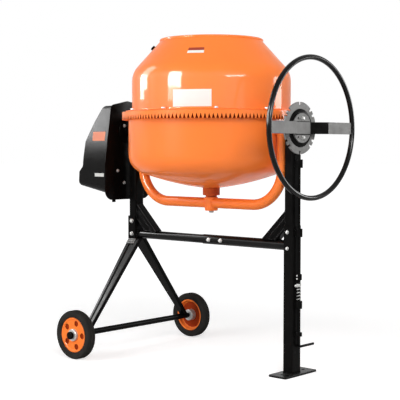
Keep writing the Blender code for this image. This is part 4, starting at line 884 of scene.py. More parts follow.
@dataclass
class PostFrame(Assembly):
    """The two posts, the crossbar in two tubes and the corner braces."""

    left_x: float = -0.4320
    right_x: float = 0.4100
    width: float = 0.0394
    depth: float = 0.0494
    corner: float = 0.005
    foot_z: float = 0.4763
    top_z: float = 0.985
    cap: float = 0.004
    bore: float = 0.0205
    bar_z: float = 0.495
    bar_radius: float = 0.018
    sleeve_radius: float = 0.020
    splice_start: float = -0.040
    brace_width: float = 0.052
    brace_depth: float = 0.038
    brace_reach: float = 0.116
    groove: float = 0.0025
    groove_width: float = 0.010

    def build(self) -> None:
        """Make and place every piece of the frame."""
        for name, node, x in (("left_post", "left_upright", self.left_x), ("right_post", "right_upright", self.right_x)):
            outline = rectangle(self.width, self.depth, self.corner, 6)
            post = solid(name, plate(outline, self.foot_z, self.top_z), at(x))
            drill = solid("drill", turned(((0.0, -0.05), (self.bore, -0.05), (self.bore, 0.05), (0.0, 0.05)), 48),
                          at(x, 0.0, TRUNNION_Z, TO_X))
            post = smoothed(shaped(post, drill, "DIFFERENCE"))
            self.place(post, BLACK_PAINT, "frame", node)
            lid = plate(rectangle(self.width, self.depth, self.corner, 6), self.top_z, self.top_z + self.cap,
                        edge=0.0018, steps=4)
            self.place(solid(name + "_cap", lid, at(x)), BLACK_PLASTIC, "frame")
        left_face, right_face = self.left_x + self.width / 2, self.right_x - self.width / 2
        left = self.bar("left_bar", left_face + FIT, self.splice_start + 0.115, self.bar_radius)
        self.place(left, GLOSS_BLACK, "frame", "left_crossbar")
        sleeve = rounded(((self.bar_radius + FIT, self.splice_start, 0.0004),
                          (self.sleeve_radius, self.splice_start, 0.0007),
                          (self.sleeve_radius, right_face - FIT, 0.0), (self.bar_radius + FIT, right_face - FIT, 0.0)), 3)
        right = solid("right_bar", turned(sleeve, 40), at(0.0, 0.0, self.bar_z, TO_X))
        self.place(right, GLOSS_BLACK, "frame", "right_crossbar")
        self.braces(left_face, right_face)
        self.bolts()

    def bar(self, name: str, start: float, end: float, radius: float) -> bpy.types.Object:
        """Make a straight tube along X at the crossbar's height.

        Args:
            name: The piece's name.
            start: Its left end, from the drum's axis.
            end: Its right end.
            radius: Its radius.

        Returns:
            The piece.
        """
        path = [(AXIS_X + start, 0.0, self.bar_z), (AXIS_X + end, 0.0, self.bar_z)]
        return tube(name, path, radius, BLACK_PAINT, sides=40)

    def brace_section(self) -> Flat:
        """Return the brace's section, with two pressed grooves on its front and rear."""
        w, d, half = self.brace_width / 2, self.brace_depth / 2, self.groove_width / 2
        floor, soft = d - self.groove, 0.0015
        front = [(-w, -d, 0.004)]
        for middle in (-w / 2, w / 2):
            front += [(middle - half - self.groove, -d, soft), (middle - half, -floor, soft)]
            front += [(middle + half, -floor, soft), (middle + half + self.groove, -d, soft)]
        front.append((w, -d, 0.004))
        return rounded(front + [(-x, -y, radius) for x, y, radius in front], 4)

    def braces(self, left_face: float, right_face: float) -> None:
        """Make the braces and the welds round them.

        Args:
            left_face: Inner face of the left post.
            right_face: Inner face of the right post.
        """
        half = self.brace_width / math.sqrt(2)
        reach = self.brace_reach - half
        lean = Matrix.Rotation(math.radians(45), 4, "Y")
        beads = []
        for name, node, face, radius, side in (("left_corner_brace", "left_brace", left_face, self.bar_radius, -1),
                                               ("right_corner_brace", "right_brace", right_face, self.sleeve_radius, 1)):
            rest = self.bar_z + radius + FIT
            bm = plate(self.brace_section(), lambda x, y: x, lambda x, y: (reach - FIT) * math.sqrt(2) - x, edge=0.0004)
            turn = lean if side > 0 else Matrix.Rotation(math.pi, 4, "Z") @ lean
            middle = face - side * reach
            self.place(solid(name, bm, at(middle, 0.0, rest, turn)), BLACK_PAINT, "frame", node)
            edge = AXIS_X + face - side * 0.001
            for y in (-self.brace_depth / 2, self.brace_depth / 2):
                beads.append([(AXIS_X + middle + half * s * 0.9, y * 0.93, rest - 0.001) for s in (-1.0, 0.0, 1.0)])
                beads.append([(edge, y * 0.97, rest + reach + half * s * 0.9) for s in (-1.0, 0.0, 1.0)])
            beads.append([(AXIS_X + middle - side * half, y, rest) for y in (-0.011, 0.0, 0.011)])
            beads.append([(edge, y, rest + reach + half) for y in (-0.015, 0.0, 0.015)])
        self.place(weld("brace_welds", beads, 0.0022, BLACK_PAINT, 11), BLACK_PAINT, "frame")
        rings = [[(AXIS_X + x, y, self.bar_z + z) for y, z in circle(radius, 24)]
                 for x, radius in ((left_face + 0.001, self.bar_radius), (right_face - 0.001, self.sleeve_radius))]
        self.place(weld("crossbar_welds", rings, 0.0022, BLACK_PAINT, 12, True), BLACK_PAINT, "frame")

    def bolts(self) -> None:
        """Set the bolts that hold the crossbar's two tubes together."""
        spots = [((AXIS_X + x, side * self.sleeve_radius, self.bar_z), (0.0, side, 0.0))
                 for x in (0.003, 0.0665) for side in (-1.0, 1.0)]
        self.place(fasteners("splice_bolts", Bolt(0.013, 0.006, 0.0085), spots, BRIGHT_STEEL, 21), BRIGHT_STEEL, "frame")


@dataclass
class LegSet(Assembly):
    """The clamp on the left post, the two spread legs and the axle."""

    x: float = -0.4320
    post_width: float = 0.0394
    post_depth: float = 0.0500
    wall: float = 0.0045
    clamp_low: float = 0.476
    clamp_height: float = 0.098
    leg_top: float = 0.068
    leg_foot: float = 0.031
    leg_thickness: float = 0.018
    leg_shift: float = 0.006
    leg_corner: float = 0.004
    leg_groove: float = 0.022
    leg_groove_depth: float = 0.005
    leg_spread: float = 0.300
    axle_z: float = 0.100
    axle_radius: float = 0.010
    axle_end: float = 0.386
    axle_tube: float = 0.0125
    axle_tube_y: float = 0.320
    cap_radius: float = 0.0155
    cap_length: float = 0.011

    def build(self) -> None:
        """Make and place every piece of the legs."""
        clamp = solid("clamp_channel", plate(channel(self.post_width, self.post_depth, self.wall, -1), self.clamp_low,
                                             self.clamp_low + self.clamp_height, edge=0.0008), at(self.x))
        self.place(clamp, BLACK_PAINT, "frame", "leg_clamp")
        self.legs()
        half = [(0.0, -self.axle_end, 0.0), (self.axle_radius, -self.axle_end, 0.001),
                (self.axle_radius, -self.axle_tube_y, 0.0005), (self.axle_tube, -self.axle_tube_y, 0.001)]
        axle = rounded(half + [(r, -h, radius) for r, h, radius in reversed(half)], 3)
        self.place(solid("axle_bar", turned(axle, 32), at(self.x, 0.0, self.axle_z, TO_Y)), BLACK_PAINT, "frame", "axle")
        floor = self.axle_end + FIT
        end, start_y, bore = floor + 0.003, floor + 0.003 - self.cap_length, self.axle_radius + FIT
        cap = rounded(((bore, start_y, 0.0), (self.cap_radius, start_y, 0.0008), (self.cap_radius, end, 0.0024),
                       (0.0, end, 0.0), (0.0, floor, 0.0), (bore, floor, 0.0)), 4)
        for name, node, turn in (("front_hub_cap", "front_axle_cap", TO_Y.inverted()),
                                 ("rear_hub_cap", "rear_axle_cap", TO_Y)):
            self.place(solid(name, turned(cap, 32), at(self.x, 0.0, self.axle_z, turn)), BLACK_PAINT, "frame", node)
        front = self.post_depth / 2 + self.wall
        spots = [((AXIS_X + self.x + 0.002, side * front, z), (0.0, side, 0.0))
                 for side in (-1.0, 1.0) for z in (0.497, 0.552)]
        bolts = fasteners("clamp_bolts", Bolt(0.013, 0.0065, 0.0090), spots, BRIGHT_STEEL, 22)
        self.place(bolts, BRIGHT_STEEL, "frame")

    def legs(self) -> None:
        """Make the two flat legs, which narrow from the clamp to the axle, and their welds."""
        top = self.clamp_low - FIT
        foot = self.axle_z + self.axle_tube + FIT
        lean = math.atan2(self.leg_spread - self.leg_thickness / 2, top - self.axle_z)
        wide, slope, length = self.leg_thickness / math.cos(lean), math.tan(lean), (top - foot) / math.cos(lean)
        start = wide / 2 + FIT
        beads, highlight_beads = [], []
        for name, node, side in (("front_leg_channel", "front_leg", -1), ("rear_leg_channel", "rear_leg", 1)):
            bm = plate([(x, -side * y) for x, y in self.leg_section()], lambda x, y: -length - side * y * slope,
                       lambda x, y: -side * y * slope, edge=0.0005)
            for vert in bm.verts:
                vert.co.x *= 1 - (1 - self.leg_foot / self.leg_top) * max(0.0, -vert.co.z) / length
            middle = self.x + self.leg_shift
            leg = solid(name, bm, at(middle, side * start, top, Matrix.Rotation(side * lean, 4, "X")))
            self.place(leg, BLACK_PAINT, "frame", node)
            y = side * (start + (top - foot) * slope)
            highlight_beads += [[(AXIS_X + self.x + x, side * (start + wide / 2 + drop * slope), top - drop) for x in (-0.020, 0.0, 0.018)]
                     for drop in (0.003, 0.010, 0.017)]
            beads += [[(AXIS_X + self.x + x, y + end * wide * 0.46, foot) for x in (-0.006, 0.0, 0.006)] for end in (-1, 1)]
        self.place(weld("leg_welds", beads, 0.002, BLACK_PAINT, 13), BLACK_PAINT, "frame")
        # The pale grey beads at the top of each leg are a painted highlight.
        self.place(weld("leg_top_welds", highlight_beads, 0.0042, GREY_STEEL, 33), GREY_STEEL, "frame")

    def leg_section(self) -> Flat:
        """Return a leg's section under the clamp, with a groove pressed into its outer face."""
        w, d, half, soft = self.leg_top / 2, self.leg_thickness / 2, self.leg_groove / 2, 0.0012
        groove = [(-half - 0.004, -d, soft), (-half, self.leg_groove_depth - d, soft)]
        corners = [(-w, -d, self.leg_corner), *groove, *[(-x, y, radius) for x, y, radius in groove[::-1]],
                   (w, -d, self.leg_corner), (w, d, self.leg_corner), (-w, d, self.leg_corner)]
        return rounded(corners, 4)


def channel(width: float, depth: float, wall: float, side: int) -> Flat:
    """Return the section of a channel round a post.

    Args:
        width: The post's size along X.
        depth: The post's size along Y.
        wall: The channel's wall.
        side: Where its back is, 1 for +X.

    Returns:
        The outline, with rounded outer corners.
    """
    w, d = width / 2, depth / 2
    back = w + FIT + wall
    points = ((-w, -d, 0.0), (w + FIT, -d, 0.0015), (w + FIT, d, 0.0015), (-w, d, 0.0), (-w, d + wall, 0.0),
              (back, d + wall, wall + 0.001), (back, -d - wall, wall + 0.001), (-w, -d - wall, 0.0))
    return rounded([(side * x, y, radius) for x, y, radius in points], 5)


@dataclass
class Stand(Assembly):
    """The leg under the handwheel and its foot plate."""

    x: float = 0.4100
    post_width: float = 0.0394
    post_depth: float = 0.0500
    wall: float = 0.0023
    top_z: float = 0.5714
    foot_width: float = 0.084
    foot_length: float = 0.201
    foot_shift: float = 0.007
    foot: float = 0.008
    foot_corner: float = 0.008
    hole: float = 0.007
    hole_y: float = 0.066

    def build(self) -> None:
        """Make and place the stand."""
        section = channel(self.post_width, self.post_depth, self.wall, 1)
        leg = solid("stand_channel", plate(section, self.foot + FIT, self.top_z, edge=0.0006), at(self.x))
        self.place(leg, BLACK_PAINT, "frame", "stand_leg")
        holes = [circle(self.hole, 24, 0.0, y) for y in (-self.hole_y, self.hole_y)]
        pad = plate(rectangle(self.foot_width, self.foot_length, self.foot_corner), 0.0, self.foot, holes, 0.0012, 3)
        self.place(solid("foot_pad", pad, at(self.x, self.foot_shift)), DULL_BLACK, "frame", "foot_plate")
        half, deep = self.post_width / 2 + self.wall, self.post_depth / 2 + self.wall
        z = self.foot + 0.001
        beads = [[(AXIS_X + self.x + half * s, y, z) for s in (-0.9, 0.0, 0.9)] for y in (-deep, deep)]
        beads.append([(AXIS_X + self.x + half, deep * s, z) for s in (-0.9, 0.0, 0.9)])
        self.place(weld("foot_welds", beads, 0.0024, BLACK_PAINT, 14), BLACK_PAINT, "frame")
        spots = [((AXIS_X + self.x - 0.003, side * deep, z), (0.0, side, 0.0))
                 for side in (-1.0, 1.0) for z in (0.4853, 0.547)]
        bolts = fasteners("stand_bolts", Bolt(0.0095, 0.0050, 0.0072), spots, BRIGHT_STEEL, 23)
        self.place(bolts, BRIGHT_STEEL, "frame")


@dataclass
class Wheel(Assembly):
    """One road wheel: solid tyre, rim of two pressed discs with holes, and hub bush."""

    name: str
    side: int
    x: float = -0.4320
    z: float = 0.100
    track: float = 0.704
    radius: float = 0.100
    tyre_width: float = 0.042
    seat: float = 0.0715
    rim_width: float = 0.030
    outer_disc: float = 0.0115
    inner_disc: float = 0.0035
    sheet: float = 0.002
    lip: float = 0.006
    holes: int = 5
    hole: float = 0.0122
    hole_circle: float = 0.050
    hub: float = 0.025
    hub_length: float = 0.044
    bore: float = 0.0103

    def build(self) -> None:
        """Make and place the wheel's pieces."""
        spot = at(self.x, self.side * self.track / 2, self.z, TO_Y if self.side > 0 else TO_Y.inverted())
        body = self.name + "_wheel"
        self.place(solid(self.name + "_tread", turned(self.tyre_section(), 96), spot), TYRE_RUBBER, body,
                   self.name + "_tyre")
        disc = HOLES.grow(self.name + "_disc", self.rim_mesh(), holes=self.holes, hole=self.hole,
                          circle=self.hole_circle, depth=2 * self.sheet + 0.002, upper=self.outer_disc,
                          lower=self.outer_disc, material=RIM_PAINT.material())
        disc.data.transform(spot)
        self.place(disc, RIM_PAINT, body, self.name + "_rim")
        # Two dark rings, one behind the holes and one on the rim's inner face, are painted shade.
        behind, low, well = self.inner_disc + self.sheet + 0.0004, self.inner_disc, self.seat - self.lip - 0.0032
        shade = joined(self.name + "_disc_back", [
            solid("between", turned(((self.hub, behind), (well, behind), (well, behind + 0.001), (self.hub, behind + 0.001)),
                                    64), spot),
            solid("inside", turned(((self.hub, low - 0.0004), (well - 0.004, low - 0.0004), (well - 0.004, low + 0.0004),
                                    (self.hub, low + 0.0004)), 64), spot)])
        self.place(shade, RIM_PAINTED_SHADE, body)
        long = self.hub_length / 2
        bush = rounded(((self.bore, -long, 0.001), (self.hub, -long, 0.003), (self.hub, long, 0.003),
                        (self.bore, long, 0.001)), 4)
        self.place(solid(self.name + "_bush", turned(bush, 48), spot), BRIGHT_STEEL, body)

    def tyre_section(self) -> Flat:
        """Return the tyre's section, with two tread grooves and a ridge on each side."""
        half, seat, groove = self.tyre_width / 2, self.seat + FIT, 0.0018
        edge = [(seat, half - 0.006, 0.001), (seat + 0.004, half - 0.0015, 0.001), (seat + 0.009, half - 0.0015, 0.0006),
                (seat + 0.0105, half, 0.0006), (self.radius - 0.004, half, 0.004), (self.radius, half - 0.008, 0.006),
                (self.radius, 0.009, 0.0004), (self.radius - groove, 0.008, 0.0004), (self.radius - groove, 0.006, 0.0004),
                (self.radius, 0.005, 0.0004)]
        return rounded(edge + [(r, -h, radius) for r, h, radius in reversed(edge)], 3)

    def rim_mesh(self) -> bpy.types.Mesh:
        """Return the rim before its holes are bored, about Z: two discs on a drum, open at the hub."""
        wide, lip, inner = self.rim_width / 2, self.seat - self.lip, self.hub - 0.001
        top, low, sheet, well = self.outer_disc, self.inner_disc, self.sheet, lip - 0.003
        section = rounded(((inner, top - sheet, 0.0), (inner, top, 0.0), (lip - 0.005, top, 0.003), (lip, wide, 0.0015),
                           (self.seat, wide, 0.0015), (self.seat, -wide, 0.0015), (lip, -wide, 0.0015),
                           (lip - 0.005, low, 0.004), (inner, low, 0.0), (inner, low + sheet, 0.0),
                           (well, low + sheet, 0.002), (well, top - sheet, 0.002)), 4)
        bm = turned(section, 96)
        bmesh.ops.recalc_face_normals(bm, faces=bm.faces[:])
        mesh = bpy.data.meshes.new(self.name + "_disc")
        bm.to_mesh(mesh)
        bm.free()
        return mesh


@dataclass
class Yoke(Assembly):
    """The bent arms that carry the drum, their hub, trunnions and bearings."""

    tube_radius: float = 0.021
    low_z: float = 0.644
    left_x: float = -0.3875
    right_x: float = 0.362
    bend: float = 0.145
    boss_length: float = 0.043
    hub_radius: float = 0.0265
    hub_low: float = 0.6125
    hub_top: float = 0.6675
    spindle: float = 0.015
    plate_face: float = -0.4840
    bar_face: float = 0.4564

    def build(self) -> None:
        """Make and place the yoke, its trunnions and the bearings."""
        beads = []
        for name, x, boss, shaft in (("left_arm", self.left_x, 0.030, 0.017), ("right_arm", self.right_x, 0.027, 0.015)):
            side = math.copysign(1.0, x)
            path = [(AXIS_X + x, 0.0, TRUNNION_Z), (AXIS_X + x, 0.0, self.low_z),
                    (AXIS_X + side * self.hub_radius / 2, 0.0, self.low_z)]
            arm = tube(name, path, self.tube_radius, ORANGE_PAINT, self.bend, 48, 24)
            half = self.boss_length / 2
            knob = rounded(((0.0, -half, 0.0), (boss, -half, 0.002), (boss, half, 0.002), (0.0, half, 0.0)), 4)
            arm = shaped(arm, solid("knob", turned(knob, 64), at(x, 0.0, TRUNNION_Z, TO_X)), "UNION")
            drill = ((0.0, -0.05), (shaft + FIT, -0.05), (shaft + FIT, 0.05), (0.0, 0.05))
            arm = shaped(arm, solid("drill", turned(drill, 48), at(x, 0.0, TRUNNION_Z, TO_X)), "DIFFERENCE")
            notch = ((0.0, 0.5), (self.hub_radius, 0.5), (self.hub_radius, 0.8), (0.0, 0.8))
            arm = shaped(arm, solid("notch", turned(notch, 64), at(0.0)), "DIFFERENCE")
            self.place(smoothed(arm, 40.0), ORANGE_PAINT, "yoke", "yoke_" + name)
            r = self.tube_radius + 0.001
            beads.append([(AXIS_X + x + r * c, r * s, TRUNNION_Z - math.sqrt(boss ** 2 - (r * s) ** 2))
                          for c, s in circle(1.0, 32)])
            beads.append([(AXIS_X + side * math.sqrt(self.hub_radius ** 2 - (r * c) ** 2), r * c, self.low_z + r * s)
                          for c, s in circle(1.0, 32)])
        self.place(weld("yoke_welds", beads, 0.0026, ORANGE_PAINT, 15, True), ORANGE_PAINT, "yoke")
        bore = self.spindle + FIT
        hub = rounded(((bore, self.hub_low, 0.001), (self.hub_radius, self.hub_low, 0.002),
                       (self.hub_radius, self.hub_top, 0.002), (bore, self.hub_top, 0.001)), 3)
        self.place(solid("hub_sleeve", turned(hub, 64), at(0.0)), ORANGE_PAINT, "yoke", "yoke_hub")
        self.trunnions()
        self.bearings()

    def trunnions(self) -> None:
        """Make the hollow journal on the drive side and the solid shaft on the handwheel side."""
        spot = at(0.0, 0.0, TRUNNION_Z, TO_X)
        start, end = self.plate_face + FIT, self.left_x + self.boss_length / 2
        journal = rounded(((0.0128, start, 0.0), (0.017, start, 0.0008), (0.017, end, 0.0008), (0.0128, end, 0.0)), 3)
        self.place(solid("left_journal", turned(journal, 48), spot), BRIGHT_STEEL, "yoke", "left_trunnion")
        start, end = self.right_x - self.boss_length / 2, self.bar_face - FIT
        shaft = rounded(((0.0, start, 0.0), (0.015, start, 0.001), (0.015, end, 0.001), (0.0, end, 0.0)), 3)
        self.place(solid("right_shaft", turned(shaft, 48), spot), BRIGHT_STEEL, "yoke", "right_trunnion")

    def bearings(self) -> None:
        """Make the bearing sleeves in the posts."""
        spot = at(0.0, 0.0, TRUNNION_Z, TO_X)
        right = rounded(((0.0153, 0.3888, 0.0), (0.020, 0.3888, 0.0006), (0.020, 0.4380, 0.0006), (0.0153, 0.4380, 0.0)), 3)
        self.place(solid("right_bush", turned(right, 48), spot), BLACK_PAINT, "frame", "right_bearing")
        face = self.plate_face + FIT
        left = rounded(((0.0173, face, 0.0), (0.055, face, 0.0008), (0.055, face + 0.006, 0.001),
                        (0.021, face + 0.006, 0.001), (0.021, -0.4108, 0.0006), (0.0173, -0.4108, 0.0)), 3)
        self.place(solid("left_bush", turned(left, 48), spot), BLACK_PAINT, "frame", "left_bearing")


@dataclass
class Drum(Assembly):
    """The drum: bowl, upper shell, ring gear, spindle, blades and blank plates."""

    sides: int = 192
    bowl_radius: float = 0.3345
    wall: float = 0.003
    knuckle: float = 0.075
    floor_z: float = 0.7055
    floor_angle: float = math.radians(14)
    floor_bow: float = math.radians(7.5)
    boss_radius: float = 0.035
    bowl_top: float = 1.0122891
    flange: float = 0.0025
    flange_radius: float = 0.345
    cone_radius: float = 0.320
    cone_wall: float = 0.0025
    slope_radius: float = 0.302
    slope_z: float = 1.1865
    shoulder: float = 0.090
    mouth_radius: float = 0.203
    mouth_z: float = 1.2965
    bead: float = 0.006
    teeth: int = 144
    gear_inner: float = 0.3375
    gear_outer: float = 0.360
    gear_tip: float = 0.9779735
    gear_root: float = 0.9965
    gear_top: float = 1.0094891
    gear_pitch_z: float = 0.9826719
    tooth_share: float = 0.43
    flank: float = math.radians(16)
    bolts: int = 10
    bolt_circle: float = 0.3335
    first_bolt: float = math.radians(-45.6)

    def build(self) -> None:
        """Make and place every piece of the drum."""
        bowl = solid("bowl_shell", turned(self.bowl_section(), self.sides), at(0.0), 40.0)
        self.place(bowl, ORANGE_PAINT, "drum", "drum_bowl")
        cone = solid("mouth_shell", turned(self.cone_section(), self.sides), at(0.0), 40.0)
        self.place(cone, ORANGE_PAINT, "drum", "drum_cone")
        self.gear()
        self.spindle()
        self.blades()
        top = self.bowl_top + FIT + self.flange
        angles = [self.first_bolt + TURN * i / self.bolts for i in range(self.bolts)]
        spots = [((AXIS_X + self.bolt_circle * math.cos(a), self.bolt_circle * math.sin(a), top), (0.0, 0.0, 1.0))
                 for a in angles]
        self.place(fasteners("flange_bolts", Bolt(0.013, 0.0055, 0.0088), spots, BRIGHT_STEEL, 24), BRIGHT_STEEL, "drum")
        self.plates()

    def bowl_side(self, offset: float, steps: int, bow: float = 0.0) -> Flat:
        """Return one side of the bowl's wall.

        Args:
            offset: How far it is moved inwards.
            steps: Parts of the knuckle.
            bow: How much the floor's slope turns either way from its middle.

        Returns:
            Points from the floor's middle to the top of the knuckle.
        """
        slope = math.tan(self.floor_angle)
        middle = self.bowl_radius - self.knuckle
        floor = self.floor_z + slope * (middle - self.boss_radius)
        centre = (middle, floor + self.knuckle / math.cos(self.floor_angle))
        curve = arc(centre, self.knuckle - offset, self.floor_angle + bow - math.pi / 2, 0.0, steps)
        rise = offset / math.cos(self.floor_angle)
        edge = (self.boss_radius, self.floor_z + rise)
        run, climb = curve[0][0] - edge[0], curve[0][1] - edge[1]
        sag = math.tan(bow / 2) / 2
        shares = [k / steps for k in range(1, steps)] if bow else []
        floor = [(edge[0] + run * s + 4 * s * (1 - s) * sag * climb, edge[1] + climb * s - 4 * s * (1 - s) * sag * run)
                 for s in shares]
        return [(0.0, self.floor_z + rise), edge, *floor, *curve]

    def bowl_section(self) -> Flat:
        """Return the bowl's section with its bolting flange."""
        under, edge = self.bowl_top - self.flange, 0.0008
        rim = [(self.bowl_radius, under - 0.003), (self.bowl_radius + 0.0009, under - 0.0009),
               (self.bowl_radius + 0.003, under), (self.flange_radius - edge, under), (self.flange_radius, under + edge),
               (self.flange_radius, self.bowl_top - edge), (self.flange_radius - edge, self.bowl_top),
               (self.bowl_radius - self.wall, self.bowl_top)]
        return self.bowl_side(0.0, 28, self.floor_bow) + rim + self.bowl_side(self.wall, 14)[::-1]

    def cone_side(self, offset: float, steps: int) -> Flat:
        """Return one side of the upper shell.

        Args:
            offset: How far it is moved inwards.
            steps: Parts of the shoulder.

        Returns:
            Points from the foot of the shoulder to below the mouth.
        """
        lean = math.atan2(self.slope_radius - self.mouth_radius, self.mouth_z - self.slope_z)
        corner = self.slope_z - (self.cone_radius - self.slope_radius) / math.tan(lean)
        centre = (self.cone_radius - self.shoulder, corner - self.shoulder * math.tan(lean / 2))
        curve = arc(centre, self.shoulder - offset, 0.0, lean, steps)
        edge = self.mouth_z - self.bead
        return [*curve, (self.mouth_radius + self.bead * math.tan(lean) - offset / math.cos(lean), edge)]

    def cone_section(self) -> Flat:
        """Return the upper shell's section: flange, cylinder, slope and rolled rim."""
        foot_z = self.bowl_top + FIT
        top, edge, soft = foot_z + self.flange, 0.0008, 0.004
        foot = [(self.cone_radius - self.cone_wall, foot_z), (self.flange_radius - edge, foot_z),
                (self.flange_radius, foot_z + edge), (self.flange_radius, top - edge), (self.flange_radius - edge, top),
                (self.cone_radius + soft, top), (self.cone_radius + soft * 0.29, top + soft * 0.29),
                (self.cone_radius, top + soft)]
        roll = arc((self.mouth_radius, self.mouth_z), self.bead, math.radians(-40), math.radians(220), 18)
        return foot + self.cone_side(0.0, 24) + roll + self.cone_side(self.cone_wall, 12)[::-1]

    def gear(self) -> None:
        """Make the ring gear: a flat ring with a tree that repeats its teeth, with painted shade on the tooth flanks
        and on a ring behind the teeth.
        """
        middle = (self.gear_inner + self.gear_outer) / 2
        width = self.tooth_share * TURN / self.teeth * middle
        root = (width + 2 * (self.gear_root - self.gear_pitch_z) * math.tan(self.flank)) / 2 / middle
        tip = (width - 2 * (self.gear_pitch_z - self.gear_tip) * math.tan(self.flank)) / 2 / middle
        bm = bmesh.new()
        rings = []
        for share, z in ((root, self.gear_root + 0.0002), (tip + 0.0006, self.gear_tip + 0.0006),
                         (tip - 0.0006, self.gear_tip)):
            trim = 0.0006 if z == self.gear_tip else 0.0
            corners = [(self.gear_inner + trim, -share), (self.gear_outer - trim, -share),
                       (self.gear_outer - trim, share), (self.gear_inner + trim, share)]
            rings.append([bm.verts.new((r * math.cos(a), r * math.sin(a), z)) for r, a in corners])
        for first, second in zip(rings, rings[1:]):
            bridge(bm, first, second)
        bm.faces.new(rings[0])
        bm.faces.new(rings[-1])
        tooth = solid("tooth", bm)
        edge = 0.0008
        ring = rounded(((self.gear_inner, self.gear_root, 0.0), (self.gear_outer, self.gear_root, 0.0),
                        (self.gear_outer, self.gear_top, edge), (self.gear_inner, self.gear_top, edge)), 3)
        body = solid("gear_body", turned(ring, 2 * self.teeth))
        gear = TEETH.grow("toothed_ring", body.data.copy(), tooth=tooth, count=self.teeth, material=ORANGE_PAINT.material())
        bpy.data.objects.remove(tooth)
        bpy.data.objects.remove(body)
        gear.data.transform(at(0.0))
        # A dark ring behind the teeth and dark films on the tooth flanks are painted shade between the teeth.
        low = self.gear_tip + 0.0010
        band = solid("gear_band", turned(((self.bowl_radius - 0.0005, low), (self.gear_inner - 0.0004, low),
                                          (self.gear_inner - 0.0004, self.gear_root),
                                          (self.bowl_radius - 0.0005, self.gear_root)), self.sides))
        bm = bmesh.new()
        for side in (-1, 1):
            film = [[bm.verts.new((r * math.cos(side * a), r * math.sin(side * a), z))
                     for r, a in ((self.gear_inner, share - 0.0004), (self.gear_outer - 0.0008, share - 0.0004),
                                  (self.gear_outer - 0.0008, share + 0.0006), (self.gear_inner, share + 0.0006))]
                    for share, z in ((root, self.gear_root), (tip + 0.0006, self.gear_tip + 0.0008))]
            bridge(bm, *film)
            for ends in film:
                bm.faces.new(ends)
        flank = solid("tooth_flank", bm)
        painted_shade = TEETH.grow("gear_grease", band.data.copy(), tooth=flank, count=self.teeth, material=GEAR_PAINTED_SHADE.material())
        bpy.data.objects.remove(flank)
        bpy.data.objects.remove(band)
        painted_shade.data.transform(at(0.0))
        self.place(painted_shade, GEAR_PAINTED_SHADE, "drum")
        self.place(gear, ORANGE_PAINT, "drum", "ring_gear")

    def spindle(self) -> None:
        """Make the spindle with its boss, and the nut under the yoke's hub."""
        top = self.floor_z - FIT
        shape = rounded(((0.0, 0.6122, 0.0), (0.015, 0.6122, 0.001), (0.015, 0.6678, 0.0), (0.023, 0.6678, 0.001),
                         (0.023, top - 0.030, 0.003), (self.boss_radius, top - 0.030, 0.002), (self.boss_radius, top, 0.0),
                         (0.0, top, 0.0)), 3)
        # The spindle's darker orange is painted shade under the drum.
        self.place(solid("spindle_post", turned(shape, 48), at(0.0)), ORANGE_PAINTED_SHADE, "drum", "drum_spindle")
        nut = plate(circle(0.018 / math.sqrt(3), 6), 0.6039, 0.6119, edge=0.0012)
        self.place(solid("spindle_hex_nut", nut, at(0.0)), BRIGHT_STEEL, "drum", "spindle_nut")

    def blades(self) -> None:
        """Make the two mixing blades with their corners rounded."""
        wall = (self.bowl_radius - self.wall) * math.cos(math.pi / 48) - 2 * FIT
        slope = math.tan(self.floor_angle)
        lift = self.floor_z + self.wall / math.cos(self.floor_angle) + 2 * FIT
        width, inner, knee, knee_z, top = 0.055, 0.180, wall - 0.024, 0.905, 0.985
        low = [lift + slope * (radius - self.boss_radius) for radius in (inner, inner + width)]
        shape = [(inner, low[0], 0.002), (inner + width, low[1], 0.002), (knee, knee_z, 0.02), (wall, top - width, 0.004),
                 (wall, top, 0.004), (wall - width, top, 0.008), (knee - width, knee_z, 0.03), (inner, low[0] + 0.05, 0.008)]
        upright = Matrix.Rotation(math.radians(90), 4, "X")
        for name, node, angle in (("front_paddle", "front_blade", 62), ("rear_paddle", "rear_blade", 242)):
            turn = Matrix.Rotation(math.radians(angle), 4, "Z") @ upright
            paddle = solid(name, plate(rounded(shape, 5), -0.002, 0.002, edge=0.0008), at(0.0, 0.0, 0.0, turn))
            self.place(paddle, ORANGE_PAINT, "drum", node)

    def plates(self) -> None:
        """Lay the blank plates on the drum: a large one on its cylinder and a small one on its slope."""
        run = (self.slope_radius - self.mouth_radius) / (self.mouth_z - self.slope_z)
        slope = lambda z: self.slope_radius - run * (z - self.slope_z)
        flat = lambda z: self.cone_radius
        for name, finish, radius, start, end, low, high in (
                ("blank_plate", WHITE_FILM, flat, -75.6, -48.6, 1.0225, 1.0870),
                ("small_blank_plate", WHITE_FILM, slope, -69.1, -54.9, 1.2270, 1.2375),
                ("small_dark_plate", RED_FILM, slope, -69.1, -54.9, 1.2375, 1.2490)):
            skin = lambda angle, z, out: ((radius(z) + out) * math.cos(angle), (radius(z) + out) * math.sin(angle), z)
            patch = solid(name, film(skin, math.radians(start), math.radians(end), low, high), at(0.0))
            self.place(patch, finish, "drum")
        lean = math.atan(run)
        spots = [(at(0.0) @ Vector((slope(1.265) * math.cos(a), slope(1.265) * math.sin(a), 1.265)),
                  (math.cos(lean) * math.cos(a), math.cos(lean) * math.sin(a), math.sin(lean)))
                 for a in (math.radians(-138.0),)]
        self.place(fasteners("blade_bolts", Bolt(0.017, 0.008, 0.0115), spots, BLACK_PAINT, 34), BLACK_PAINT, "drum")


